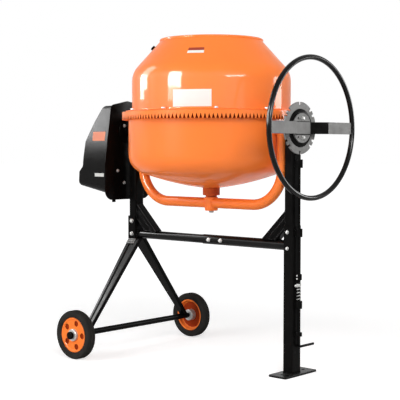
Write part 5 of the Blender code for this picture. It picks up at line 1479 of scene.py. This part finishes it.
def film(skin: Callable[[float, float, float], Spot], start: float, end: float, low: float, high: float,
         lift: float = 0.0004, steps: int = 18) -> bmesh.types.BMesh:
    """Lay a thin plate on a curved surface.

    Args:
        skin: The point at a place along the surface, a height and a distance off it.
        start: First place along the surface.
        end: Last place along it.
        low: Lower edge.
        high: Upper edge.
        lift: How far it stands off the surface.
        steps: Parts along its length.

    Returns:
        A closed mesh.
    """
    bm = bmesh.new()
    skins = []
    for out in (-0.0006, lift):
        rows = [[bm.verts.new(skin(start + (end - start) * k / steps, z, out)) for k in range(steps + 1)]
                for z in (low, high)]
        skins.append(rows[0] + rows[1][::-1])
        for i in range(steps):
            bm.faces.new((rows[0][i], rows[0][i + 1], rows[1][i + 1], rows[1][i]))
    bridge(bm, skins[0], skins[1])
    return bm


@dataclass
class Handwheel(Assembly):
    """The handwheel with its cranked bar, and the notched disc of the tilt lock."""

    plane_x: float = 0.5026
    radius: float = 0.2627
    tube_radius: float = 0.010
    bar_x: float = 0.4564
    bar_height: float = 0.045
    bar_thickness: float = 0.005
    bar_middle: float = 0.043
    bar_bend: float = 0.100
    disc_x: float = 0.4395
    disc_radius: float = 0.0988
    disc: float = 0.006
    notch: float = 0.0115
    notches: tuple[int, ...] = (0, 45, 60, 120, 135, 180, 225, 240, 300, 315)
    bore: float = 0.0153

    def build(self) -> None:
        """Make and place the handwheel and the lock's disc."""
        path = [(AXIS_X + self.plane_x, y, TRUNNION_Z + z) for y, z in circle(self.radius, 144)]
        ring = tube("wheel_ring", path, self.tube_radius, BLACK_PAINT, sides=28, closed=True)
        self.place(ring, GLOSS_BLACK, "yoke", "handwheel_ring")
        self.bar()
        spot = at(0.0, 0.0, TRUNNION_Z, TO_X)
        disc = plate(self.disc_edge(), self.disc_x, self.disc_x + self.disc, [circle(self.bore, 40)], 0.0009, 3)
        self.place(solid("lock_disc", disc, spot), GREY_STEEL, "yoke", "notched_disc")
        dish = rounded(((self.bore, 0.4458, 0.0), (0.0725, 0.4458, 0.0), (0.0725, 0.4470, 0.0008), (0.0600, 0.4498, 0.002),
                        (self.bore, 0.4498, 0.0)), 3)
        self.place(solid("cover_disc", turned(dish, 96), spot), BLACK_PAINT, "yoke", "hub_plate")
        holes = [circle(0.0048, 18, -z, -0.0255) for z in (-0.035, 0.035)]
        flange = plate(circle(0.056, 80), 0.4501, 0.4561, [circle(self.bore, 40), *holes], 0.0009, 3)
        self.place(solid("wheel_flange", flange, spot), GREY_STEEL, "yoke", "hub_flange")
        spots = [((AXIS_X + 0.4561, 0.002, TRUNNION_Z + z), (1.0, 0.0, 0.0)) for z in (-0.036, 0.036)]
        self.place(fasteners("flange_screws", Bolt(0.012, 0.006, 0.0080), spots, BRIGHT_STEEL, 25), BRIGHT_STEEL, "yoke")

    def bar(self) -> None:
        """Make the bar across the wheel, bent outwards at both sides of the hub, with its cranks painted."""
        reach = self.radius - self.tube_radius + 0.002
        end = math.sqrt(reach ** 2 - (self.bar_height / 2) ** 2)
        half, middle = self.bar_thickness / 2, self.bar_x + self.bar_thickness / 2
        shift = half * math.tan(math.atan2(self.plane_x - middle, self.bar_bend - self.bar_middle) / 2)
        inner = [(end, self.plane_x - half), (self.bar_bend + shift, self.plane_x - half),
                 (self.bar_middle + shift, middle - half)]
        outer = [(end, self.plane_x + half), (self.bar_bend - shift, self.plane_x + half),
                 (self.bar_middle - shift, middle + half)]
        flats = [[inner[2], outer[2], (-outer[2][0], outer[2][1]), (-inner[2][0], inner[2][1])]]
        cranks = []
        for side in (-1, 1):
            for group, i in ((flats, 0), (cranks, 1)):
                group.append([(side * y, x) for y, x in (inner[i], inner[i + 1], outer[i + 1], outer[i])])
        for name, group, finish, nodes in (("cranked_bar", flats, GREY_STEEL, ("handwheel_bar",)),
                                           ("bar_cranks", cranks, BLACK_PAINT, ())):
            pieces = [solid("flat", plate([(x, y) for y, x in outline], -self.bar_height / 2, self.bar_height / 2,
                                          edge=0.0006), at(0.0, 0.0, TRUNNION_Z)) for outline in group]
            self.place(joined(name, pieces), finish, "yoke", *nodes)
        # A black plate just behind the bar's middle, a little larger than it, is a painted shadow round the bar's
        # edges.
        seat = plate(rectangle(0.0024, 2 * self.bar_middle + 0.004, 0.001, 3), -self.bar_height / 2 - 0.0028,
                     self.bar_height / 2 + 0.0028, edge=0.0003)
        self.place(solid("bar_seat", seat, at(self.bar_x + 0.0012, 0.0, TRUNNION_Z)), BLACK_PAINT, "yoke")
        beads = [[(AXIS_X + self.plane_x + x, s * (end - 0.001), TRUNNION_Z + z) for z in (-0.02, 0.0, 0.02)]
                 for s in (-1, 1) for x in (-0.003, 0.003)]
        self.place(weld("wheel_welds", beads, 0.002, BLACK_PAINT, 16), BLACK_PAINT, "yoke")

    def disc_edge(self) -> Flat:
        """Return the disc's edge with its notches, the first one at the bottom."""
        edge: Flat = []
        floor = self.disc_radius - self.notch
        half = math.asin(self.notch / 2 / self.disc_radius)
        reach = math.asin(self.notch / 2 / floor)
        for i, start in enumerate(self.notches):
            following = self.notches[(i + 1) % len(self.notches)]
            first, last = math.radians(start), math.radians(following if following > start else following + 360)
            edge += [(first - half, self.disc_radius), (first - reach, floor), (first + reach, floor)]
            low, high = first + half, last - half
            steps = max(2, round((high - low) / math.radians(3)))
            edge += [(low + (high - low) * k / steps, self.disc_radius) for k in range(steps)]
        return [(radius * math.cos(angle), radius * math.sin(angle)) for angle, radius in edge]


@dataclass
class TiltLock(Assembly):
    """The rod that locks the tilt, with its pedal, guides, collar and spring."""

    x: float = 0.4425
    rod: float = 0.005
    tip_z: float = 0.8417
    pedal_z: float = 0.110
    pedal_reach: float = 0.095
    pedal_bend: float = 0.016
    half_width: float = 0.013
    post_face: float = 0.4300
    stand_face: float = 0.4326
    spring_low: float = 0.2867
    spring_high: float = 0.3432
    wire: float = 0.0015
    coil: float = 0.0078
    curls: int = 5
    collar: float = 0.0094
    collar_height: float = 0.008

    def build(self) -> None:
        """Make and place the lock."""
        middle = AXIS_X + self.x
        path = [(middle, 0.0, self.tip_z), (middle, 0.0, self.pedal_z), (middle, self.pedal_reach, self.pedal_z)]
        rod = tube("pedal_rod", path, self.rod, BLACK_PAINT, self.pedal_bend, 28, 12)
        self.place(rod, BLACK_PAINT, "lock", "lock_rod")
        bore = circle(self.rod + FIT, 24, self.x)
        beads = []
        for name, node, face, low, high in (("upper_eye", "upper_rod_guide", self.post_face, 0.7912, 0.8232),
                                            ("middle_eye", "middle_rod_guide", self.stand_face, 0.5296, 0.5616),
                                            ("spring_eye", "spring_seat", self.stand_face, 0.2567, 0.2867),
                                            ("foot_eye", "foot_rod_guide", self.stand_face, 0.151, 0.166)):
            nose = [(face, -self.half_width), *arc((self.x, 0.0), self.half_width, -math.pi / 2, math.pi / 2, 20),
                    (face, self.half_width)]
            self.place(solid(name, plate(nose, low, high, [bore], 0.001, 3), at(0.0)), BLACK_PAINT, "frame", node)
            beads += [[(AXIS_X + face + 0.001, y, z) for z in (low + 0.002, high - 0.002)]
                      for y in (-self.half_width, self.half_width)]
        self.place(weld("eye_welds", beads, 0.0016, BLACK_PAINT, 17), BLACK_PAINT, "frame")
        top = self.spring_high
        ring = rounded(((self.rod + FIT, top, 0.0), (self.collar, top, 0.0008), (self.collar, top + self.collar_height, 0.0012),
                        (self.rod + FIT, top + self.collar_height, 0.0)), 3)
        self.place(solid("spring_collar", turned(ring, 32), at(self.x)), BRIGHT_STEEL, "lock", "lock_collar")
        stop = rounded(((self.rod, 0.366, 0.0), (0.0115, 0.366, 0.0015), (0.0115, 0.389, 0.0015), (self.rod, 0.389, 0.0)), 3)
        self.place(solid("rod_stop", turned(stop, 32), at(self.x)), BLACK_PAINT, "lock")
        for name, bolt, y, heights in (("stop_screws", Bolt(0.0065, 0.0030, 0.0, 14), 0.0112, (0.3714, 0.3835)),
                                       ("collar_bolt", Bolt(0.0100, 0.0115, 0.0065), 0.0090, (top + 0.002,))):
            spots = [((middle, -y, z), (0.0, -1.0, 0.0)) for z in heights]
            self.place(fasteners(name, bolt, spots, BRIGHT_STEEL, 32), BRIGHT_STEEL, "lock")
        self.spring()

    def spring(self) -> None:
        """Wind the spring, its end curls closed, between its seat and the collar."""
        low, high = self.spring_low + self.wire + FIT, self.spring_high - self.wire - FIT
        points, count = [], self.curls * 28
        for i in range(count + 1):
            turn = i / count * self.curls
            flat = 0.75
            share = min(1.0, max(0.0, (turn - flat * 0.5) / (self.curls - flat)))
            angle = TURN * turn
            points.append((AXIS_X + self.x + self.coil * math.cos(angle), self.coil * math.sin(angle),
                           low + (high - low) * share))
        spring = tube("lock_coil", points, self.wire, BRIGHT_STEEL, sides=12)
        spring.data.materials.clear()
        spring.data.materials.append(BRIGHT_STEEL.material())
        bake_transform(spring)
        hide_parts("lock_spring")
        LOG.info("%s bends between frame and lock", spring.name)


@dataclass
class Drive(Assembly):
    """The pinion, the back plate, and the moulded cover over motor and belt."""

    plate_x: float = -0.4865
    plate: float = 0.0025
    plate_low: float = 0.643
    plate_top: float = 1.070
    plate_half: float = 0.136
    wide_z: float = 0.800
    shoulder_z: float = 1.050
    shoulder_half: float = 0.0985
    plate_corner: float = 0.042
    cover_low: float = 0.668
    cover_top: float = 1.055
    cover_half: float = 0.132
    cover_shoulder_z: float = 1.047
    cover_shoulder_half: float = 0.0935
    cover_corner: float = 0.032
    cover_bow: float = 1.35
    wall: float = 0.003
    edge: float = 0.011
    draft: float = 0.045
    lift: float = 0.0315
    lift_reach: float = 0.100
    depths: tuple[tuple[float, float], ...] = ((0.668, 0.1885), (0.7636, 0.182), (0.787, 0.158), (0.8958, 0.149),
                                               (0.9795, 0.103), (1.055, 0.053))
    vents: int = 6
    vent_length: float = 0.150
    vent_height: float = 0.006
    vent_pitch: float = 0.0145
    vent_low: float = 0.802
    pinion_teeth: int = 17
    pinion_radius: float = 0.0411719

    def build(self) -> None:
        """Make and place the drive, and dress the pieces inside the cover."""
        self.pinion()
        self.back_plate()
        self.cover()
        for node, finish in (("motor", BLACK_PAINT), ("motor_pulley", BRIGHT_STEEL), ("large_pulley", BLACK_PAINT),
                             ("drive_belt", BELT_RUBBER)):
            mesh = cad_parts[node].data
            mesh.materials.clear()
            mesh.materials.append(finish.material())
            LOG.info("%s keeps its shape, in %s", node, finish.name)

    def pinion(self) -> None:
        """Make the pinion and its shaft."""
        flank, pitch = math.radians(16), TURN / self.pinion_teeth
        root, tip = self.pinion_radius - 0.0046984 - 0.002, self.pinion_radius + 0.0062
        base = self.pinion_radius * math.cos(flank)
        at_base, at_tip = 0.41 * pitch / 2 + math.tan(flank) - flank, 0.039 * pitch / 2
        edge = []
        for i in range(self.pinion_teeth):
            side = [(-at_base, root), (-at_base, base), (-at_tip, tip)]
            side += [(-angle, radius) for angle, radius in reversed(side)]
            edge += [(-r * math.cos(pitch * i + a), r * math.sin(pitch * i + a)) for a, r in side]
        spot = at(0.0, 0.0, TRUNNION_Z, TO_X)
        gear = plate(edge, -0.359, -0.3385, [circle(0.0128, 32)], 0.0003)
        self.place(solid("drive_pinion", gear, spot), BRIGHT_STEEL, "pinion", "pinion_gear")
        shaft = rounded(((0.0, -0.540, 0.0), (0.0125, -0.540, 0.001), (0.0125, -0.3385, 0.0008), (0.0, -0.3385, 0.0)), 3)
        self.place(solid("drive_shaft", turned(shaft, 40), spot), BRIGHT_STEEL, "pinion", "pinion_shaft")

    def back_plate(self) -> None:
        """Make the steel plate behind the cover, with its bolts."""
        wide, shoulder, low, tab = self.plate_half, self.shoulder_half, self.plate_low, 0.010
        corners = ((-wide, low, self.plate_corner), (-0.094, low, 0.0), (-0.094, low - tab, 0.003),
                   (-0.074, low - tab, 0.003), (-0.074, low, 0.0), (wide, low, self.plate_corner), (wide, self.wide_z, 0.02),
                   (shoulder, self.shoulder_z, self.plate_corner / 2), (0.0, self.plate_top, self.plate_corner),
                   (-shoulder, self.shoulder_z, self.plate_corner / 2), (-wide, self.wide_z, 0.02))
        outline = [(-z, y) for y, z in rounded(corners, 8)]
        hole = circle(0.0137, 32, -TRUNNION_Z)
        sheet = plate(outline, self.plate_x, self.plate_x + self.plate, [hole], 0.0007)
        self.place(solid("motor_plate", sheet, at(0.0, 0.0, 0.0, TO_X)), BLACK_PAINT, "frame", "back_plate")
        face = AXIS_X + self.plate_x + self.plate
        spots = [((face, side * y, z), (1.0, 0.0, 0.0)) for side in (-1, 1) for y, z in ((0.0628, 0.7686), (0.0242, 0.7158))]
        spots += [((face + 0.0063, 0.034 * y, TRUNNION_Z + 0.034 * z), (1.0, 0.0, 0.0))
                  for y, z in ((-0.79, 0.616), (0.79, -0.616))]
        self.place(fasteners("plate_bolts", Bolt(0.010, 0.005, 0.0075), spots, BRIGHT_STEEL, 27), BRIGHT_STEEL, "frame")

    def depth(self, z: float) -> float:
        """Return how far the cover stands out from the plate at a height."""
        for (low, first), (high, second) in zip(self.depths, self.depths[1:]):
            if z <= high:
                return first + (second - first) * (z - low) / (high - low)
        return self.depths[-1][1]

    def cover_side(self, z: float) -> float:
        """Return how far the cover's sides are from the middle plane at a height."""
        share = max(0.0, z - self.wide_z) / (self.cover_shoulder_z - self.wide_z)
        return self.cover_half - (self.cover_half - self.cover_shoulder_half) * share ** self.cover_bow

    def cover_outline(self, inset: float) -> Flat:
        """Return the cover's edge at the plate.

        Args:
            inset: How far it is moved inwards.

        Returns:
            Points as (y, z), with many along its sides.
        """
        wide, shoulder = self.cover_half - inset, self.cover_shoulder_half - inset
        low, top, high = self.cover_low + inset, self.cover_top - inset, self.cover_shoulder_z - inset
        corner = self.cover_corner - inset
        levels = [0.72 + 0.008 * k for k in range(10)] + [0.8 + 0.012 * k for k in range(1, 19)]
        right = [(self.cover_side(z) - inset, z, 0.0) for z in levels]
        left = [(-y, z, radius) for y, z, radius in right[::-1]]
        corners = [(-wide, low, corner), (wide, low, corner), *right, (shoulder, high, corner / 2), (0.0, top, 0.0),
                   (-shoulder, high, corner / 2), *left]
        return rounded(corners, 8)

    def cover_rings(self, inset: float, shorten: float, steps: int) -> list[list[Spot]]:
        """Return the cover's rings from the plate outwards.

        Args:
            inset: How far the sides are moved inwards.
            shorten: How far the outer face is moved inwards.
            steps: Parts of the rounding between sides and face.

        Returns:
            Rings of (depth, y, z) points.
        """
        base = self.cover_outline(inset)
        middle = (self.cover_low + self.cover_top) / 2
        turns = [math.pi / 2 * k / steps for k in range(steps + 1)]
        rings = [[(0.0, y, z) for y, z in base]]
        for shrink, share in [(1 - math.cos(a), 1 - math.sin(a)) for a in turns]:
            ring = []
            for y, z in base:
                reach = (self.cover_low + self.lift_reach - z) / self.lift_reach
                inwards = self.edge * shrink
                new_z = z + self.lift * min(1.0, max(0.0, reach)) + inwards * (middle - z) / (middle - self.cover_low)
                reach = self.depth(new_z) - shorten - self.edge * share
                ring.append((reach, y * (1 - (inwards + reach * self.draft) / self.cover_half), new_z))
            rings.append(ring)
        return rings

    def lay_cover(self, bm: bmesh.types.BMesh, rings: list[list[Spot]]) -> list:
        """Lay one skin of the cover.

        Args:
            bm: The mesh being made.
            rings: Its rings from the plate outwards.

        Returns:
            The ring at the plate.
        """
        laid = [[bm.verts.new((-depth, y, z)) for depth, y, z in ring] for ring in rings]
        for first, second in zip(laid, laid[1:]):
            bridge(bm, first, second)
        last, count = laid[-1], len(laid[-1])
        start = next(i for i in range(count) if last[i].co.y < 0 < last[(i + 1) % count].co.y
                     and last[i].co.z < TRUNNION_Z)
        for k in range(count // 2):
            corners = [last[(start - k) % count], last[(start + 1 + k) % count], last[(start + 2 + k) % count],
                       last[(start - k - 1) % count]]
            face = list(dict.fromkeys(corners))
            if len(face) > 2:
                bm.faces.new(face)
        return laid[0]

    def cover(self) -> None:
        """Make the hollow cover with its vent slots, a louvre over each, and its plain stickers."""
        bm = bmesh.new()
        outer = self.lay_cover(bm, self.cover_rings(0.0, 0.0, 8))
        inner = self.lay_cover(bm, self.cover_rings(self.wall, self.wall, 4))
        bridge(bm, outer, inner)
        skin = self.plate_x - FIT
        cover = solid("motor_cover", bm, at(skin))
        slots, hoods = [], []
        for i in range(self.vents):
            z = self.vent_low + self.vent_pitch * i + self.vent_height / 2
            slots.append(solid("slot", plate(rectangle(self.vent_height, self.vent_length, 0.0029), -0.02, 0.02, edge=0.0001),
                               at(skin - self.depth(z), 0.0, z, TO_X)))
            hoods.append(((AXIS_X + skin - self.depth(z + 0.005) + 0.0005, 0.0, z + 0.005), (-1.0, 0.0, 0.0)))
        cover = shaped(cover, joined("slots", slots), "DIFFERENCE")
        self.place(smoothed(cover, 40.0), BLACK_PLASTIC, "frame", "drive_cover")
        hood = self.hood()
        louvres = scattered("louvres", hood, hoods, BLACK_PLASTIC, 29, False)
        bpy.data.objects.remove(hood)
        self.place(louvres, BLACK_PLASTIC, "frame")
        side = lambda x, z, out: (x, -self.cover_side(z) * (1 - (skin - x) * self.draft / self.cover_half) - out, z)
        for name, finish, start, end, low, high in (("orange_sticker", ORANGE_FILM, -0.583, -0.503, 0.897, 0.936),
                                                    ("pale_sticker", GREY_FILM, -0.556, -0.496, 0.7435, 0.7575)):
            self.place(solid(name, film(side, start, end, low, high), at(0.0)), finish, "frame")

    def hood(self) -> bpy.types.Object:
        """Return one louvre: a low hood along Y, standing up along Z.

        Returns:
            The object, which the caller removes.
        """
        bm = bmesh.new()
        rings = []
        for y, size in ((-0.50, 0.1), (-0.485, 0.7), (-0.46, 1.0), (0.0, 1.0), (0.46, 1.0), (0.485, 0.7), (0.50, 0.1)):
            section = [(-0.0045, -0.001), (0.0035, -0.001), (0.0035, 0.0003)] + arc((0.0, 0.0), 1.0, 0.2, math.pi * 0.9, 5)
            points = section[:3] + [(0.0045 * c - 0.0005, 0.0042 * s * size) for c, s in section[3:]]
            rings.append([bm.verts.new((x, y * (self.vent_length + 0.008), z)) for x, z in points])
        for first, second in zip(rings, rings[1:]):
            bridge(bm, first, second)
        bm.faces.new(rings[0])
        bm.faces.new(rings[-1])
        return solid("hood", bm)


@dataclass
class Switch(Assembly):
    """The switch on the cover's rear side: box, two buttons and the power inlet."""

    x: float = -0.5585
    z: float = 0.752
    face_y: float = 0.1323
    width: float = 0.056
    height: float = 0.088
    thickness: float = 0.040
    button: float = 0.011
    button_rise: float = 0.020
    proud: float = 0.004
    pocket: float = 0.010

    def build(self) -> None:
        """Make and place the switch."""
        top = self.face_y + self.thickness
        pockets = [circle(self.button + 0.0004, 40, 0.0, -s * self.button_rise) for s in (-1, 1)]
        spot = at(self.x, 0.0, self.z, TO_Y)
        outline = rectangle(self.width, self.height, 0.007, 6)
        low = plate(outline, self.face_y, top - self.pocket, edge=0.0012, steps=3)
        lid = plate(rectangle(self.width, self.height, 0.007, 6), top - self.pocket, top, pockets, 0.0028, 4)
        self.place(joined("switch_case", [solid("low", low, spot), solid("lid", lid, spot)]), BLACK_PLASTIC, "frame",
                   "switch_box")
        for name, node, finish, side in (("start_knob", "start_button", GREEN_PLASTIC, 1),
                                         ("stop_knob", "stop_button", RED_PLASTIC, -1)):
            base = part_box(node)[0].y
            dome = [(0.0, base), (self.button, base), (self.button, top + self.proud - 0.0015)]
            dome += [(self.button * math.cos(a), top + self.proud - 0.0015 + 0.0015 * math.sin(a))
                     for a in (0.5, 0.9, 1.3)] + [(0.0, top + self.proud)]
            place = at(self.x, 0.0, self.z + side * self.button_rise, TO_Y)
            self.place(solid(name, turned(dome, 40), place), finish, node, node)
            mark = self.mark(side > 0, top + self.proud)
            self.place(solid(name + "_mark", mark, place), WHITE_FILM, node)
        self.screws(top)
        self.inlet()

    def mark(self, bar: bool, height: float) -> bmesh.types.BMesh:
        """Return the raised bar or ring that marks a button.

        Args:
            bar: Whether it is the start button's bar.
            height: The button's top.

        Returns:
            The mesh, about the button's axis.
        """
        if bar:
            return plate(rectangle(0.0018, 0.0085, 0.0008, 3), height - 0.0008, height + 0.0003, edge=0.0001)
        return plate(circle(0.0046, 28), height - 0.0008, height + 0.0003, [circle(0.0030, 28)], 0.0001)

    def screws(self, top: float) -> None:
        """Set the screws in the lid's corners.

        Args:
            top: The lid's face.
        """
        spots = [((AXIS_X + self.x + a * 0.022, top - 0.0006, self.z + b * 0.038), (0.0, 1.0, 0.0))
                 for a in (-1, 1) for b in (-1, 1)]
        self.place(fasteners("switch_screws", Bolt(0.0052, 0.0012, 0.0, 16), spots, GREY_STEEL, 30), GREY_STEEL, "frame")

    def inlet(self) -> None:
        """Make the power inlet with its pins."""
        low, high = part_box("power_inlet")
        centre = ((low.x + high.x) / 2 - AXIS_X, (low.y + high.y) / 2)
        radius = (high.x - low.x) / 2
        shell = rounded(((0.0, high.z, 0.0), (radius, high.z, 0.0), (radius, low.z + 0.006, 0.0), (radius + 0.0, low.z, 0.0015),
                         (radius - 0.003, low.z, 0.0008), (radius - 0.003, high.z - 0.006, 0.001), (0.0, high.z - 0.006, 0.0)), 3)
        self.place(solid("plug_inlet", turned(shell, 40), at(centre[0], centre[1])), BLACK_PLASTIC, "frame", "power_inlet")
        spots = [((AXIS_X + centre[0] + 0.0065 * c, centre[1] + 0.0065 * s, high.z - 0.006), (0.0, 0.0, -1.0))
                 for c, s in circle(1.0, 3)]
        self.place(fasteners("inlet_pins", Bolt(0.0045, 0.014, 0.0, 14), spots, BRIGHT_STEEL, 31), BRIGHT_STEEL, "frame")


# Studio


@dataclass(frozen=True)
class Softbox:
    """An upright softbox round the drum, placed by its bearing from the camera's side."""

    name: str
    bearing: float
    width: float
    low: float
    high: float
    radiance: float
    distance: float = 3.0


@dataclass
class Studio:
    """The camera, the lamps, the floor and the world."""

    eye: Spot = (2.9029, -3.2141, 0.8688)
    azimuth: float = 41.905
    pitch: float = 2.858
    lens: float = 94.905
    cards: tuple[Softbox, ...] = (
        Softbox("high_left_card", -107.5, 17.0, 1.66, 2.70, 11.0, 2.2),
        Softbox("left_side_card", -107.5, 17.0, 1.21, 1.66, 45.0, 2.2),
        Softbox("left_side_skirt", -111.0, 10.0, 1.16, 1.21, 26.0, 2.2),
        Softbox("key_card", -52.0, 20.5, 1.267, 2.60, 75.0),
        Softbox("key_skirt", -52.5, 19.0, 1.205, 1.267, 22.0),
        Softbox("right_front_card", 35.0, 33.0, 1.42, 1.80, 40.0),
        Softbox("right_side_card", 104.5, 19.0, 1.00, 1.60, 16.0),
        Softbox("left_front_panel", -62.0, 66.0, 1.15, 2.60, 2.2),
        Softbox("right_front_panel", 8.0, 74.0, 1.15, 2.60, 2.2),
    )
    boxes: tuple[Softbox, ...] = (
        Softbox("low_left_box", -65.0, 30.0, 0.20, 1.40, 4.6, 3.2),
        Softbox("high_left_box", -65.0, 30.0, 1.80, 3.40, 3.3, 3.2),
        Softbox("front_box", 15.0, 30.0, 1.80, 3.40, 6.5, 3.2),
        Softbox("right_box", 55.0, 30.0, 1.80, 3.40, 2.8, 3.2),
    )
    ambient: float = 0.25
    floor_colour: float = 0.65
    near_glow: float = 0.58
    far_glow: float = 0.90

    def build(self) -> None:
        """Set up everything round the machine."""
        scene = bpy.context.scene
        scene.view_settings.view_transform = "Standard"
        data = bpy.data.cameras.new("camera")
        data.lens, data.sensor_width = self.lens, 36.0
        data.clip_end = 200.0
        camera = bpy.data.objects.new("camera", data)
        camera.location = self.eye
        camera.rotation_euler = (math.radians(90 - self.pitch), 0.0, math.radians(self.azimuth))
        scene.collection.objects.link(camera)
        scene.camera = camera
        for card in self.cards:
            self.softbox(card).visible_diffuse = False
        for box in self.boxes:
            self.softbox(box).visible_glossy = False
        self.floor()
        self.world()

    def softbox(self, box: Softbox) -> bpy.types.Object:
        """Place one upright softbox.

        Args:
            box: Its place, size and brightness.

        Returns:
            The lamp.
        """
        bearing = math.radians(self.azimuth - 90.0 + box.bearing)
        spot = Vector((AXIS_X + box.distance * math.cos(bearing), box.distance * math.sin(bearing), (box.low + box.high) / 2))
        width = 2 * box.distance * math.tan(math.radians(box.width / 2))
        return self.lamp(box.name, spot, Vector((AXIS_X, 0.0, min(spot.z, 1.4))), width, box.high - box.low, box.radiance)

    def lamp(self, name: str, spot: Vector, target: Vector, width: float, height: float,
             radiance: float) -> bpy.types.Object:
        """Place an area lamp.

        Args:
            name: Its name.
            spot: Where it stands.
            target: What it faces.
            width: Its size across.
            height: Its size upwards.
            radiance: How bright its face is.

        Returns:
            The lamp.
        """
        light = bpy.data.lights.new(name, "AREA")
        light.shape = "RECTANGLE"
        light.size, light.size_y = width, height
        light.energy = 4.0 * width * height * radiance
        lamp = bpy.data.objects.new(name, light)
        lamp.location = spot
        lamp.rotation_euler = (target - spot).to_track_quat("-Z", "Y").to_euler()
        lamp.visible_camera = False
        bpy.context.scene.collection.objects.link(lamp)
        return lamp

    def floor(self) -> None:
        """Lay the pale floor, which the camera sees white where nothing shades it."""
        bm = bmesh.new()
        bmesh.ops.create_grid(bm, x_segments=1, y_segments=1, size=40.0)
        floor = solid("floor", bm)
        material = bpy.data.materials.new("pale_floor")
        material.use_nodes = True
        nodes, links = material.node_tree.nodes, material.node_tree.links
        shader = nodes["Principled BSDF"]
        shader.inputs["Base Color"].default_value = (self.floor_colour,) * 3 + (1.0,)
        shader.inputs["Roughness"].default_value = 0.9
        shader.inputs["Specular IOR Level"].default_value = 0.1
        shader.inputs["Emission Color"].default_value = (1.0, 1.0, 1.0, 1.0)
        away = nodes.new("ShaderNodeVectorMath")
        away.operation = "LENGTH"
        links.new(nodes.new("ShaderNodeTexCoord").outputs["Object"], away.inputs[0])
        glow = nodes.new("ShaderNodeMapRange")
        for socket, value in (("From Min", 1.0), ("From Max", 3.2), ("To Min", self.near_glow), ("To Max", self.far_glow)):
            glow.inputs[socket].default_value = value
        links.new(away.outputs["Value"], glow.inputs["Value"])
        scale = nodes.new("ShaderNodeMath")
        scale.operation = "MULTIPLY"
        links.new(glow.outputs["Result"], scale.inputs[1])
        links.new(seen(material.node_tree), scale.inputs[0])
        links.new(scale.outputs[0], shader.inputs["Emission Strength"])
        floor.data.materials.append(material)

    def world(self) -> None:
        """Make the world: white to the camera and in reflections, a soft fill otherwise."""
        world = bpy.data.worlds.new("studio")
        world.use_nodes = True
        bpy.context.scene.world = world
        nodes, links = world.node_tree.nodes, world.node_tree.links
        fill = nodes["Background"]
        fill.inputs["Color"].default_value = (1.0, 1.0, 1.0, 1.0)
        fill.inputs["Strength"].default_value = self.ambient
        white = nodes.new("ShaderNodeBackground")
        white.inputs["Color"].default_value = (1.0, 1.0, 1.0, 1.0)
        blend = nodes.new("ShaderNodeMixShader")
        links.new(seen(world.node_tree), blend.inputs[0])
        links.new(fill.outputs[0], blend.inputs[1])
        links.new(white.outputs[0], blend.inputs[2])
        links.new(blend.outputs[0], nodes["World Output"].inputs["Surface"])


def seen(tree: bpy.types.NodeTree) -> bpy.types.NodeSocket:
    """Add nodes that tell whether the camera, a reflection or glass sees a surface.

    Args:
        tree: The material's or world's nodes.

    Returns:
        A value of 1 for such rays, or else 0.
    """
    path = tree.nodes.new("ShaderNodeLightPath")
    first, second = tree.nodes.new("ShaderNodeMath"), tree.nodes.new("ShaderNodeMath")
    first.operation = second.operation = "MAXIMUM"
    tree.links.new(path.outputs["Is Camera Ray"], first.inputs[0])
    tree.links.new(path.outputs["Is Glossy Ray"], first.inputs[1])
    tree.links.new(first.outputs[0], second.inputs[0])
    tree.links.new(path.outputs["Is Transmission Ray"], second.inputs[1])
    return second.outputs[0]


def main() -> None:
    """Build the studio and every sub-assembly."""
    logging.basicConfig(level=logging.INFO, format="%(name)s: %(message)s")
    Studio().build()
    for assembly in (PostFrame(), LegSet(), Stand(), Wheel("front", -1), Wheel("rear", 1), Yoke(), Drum(), Handwheel(),
                     TiltLock(), Drive(), Switch()):
        assembly.build()


if __name__ == "__main__":
    main()
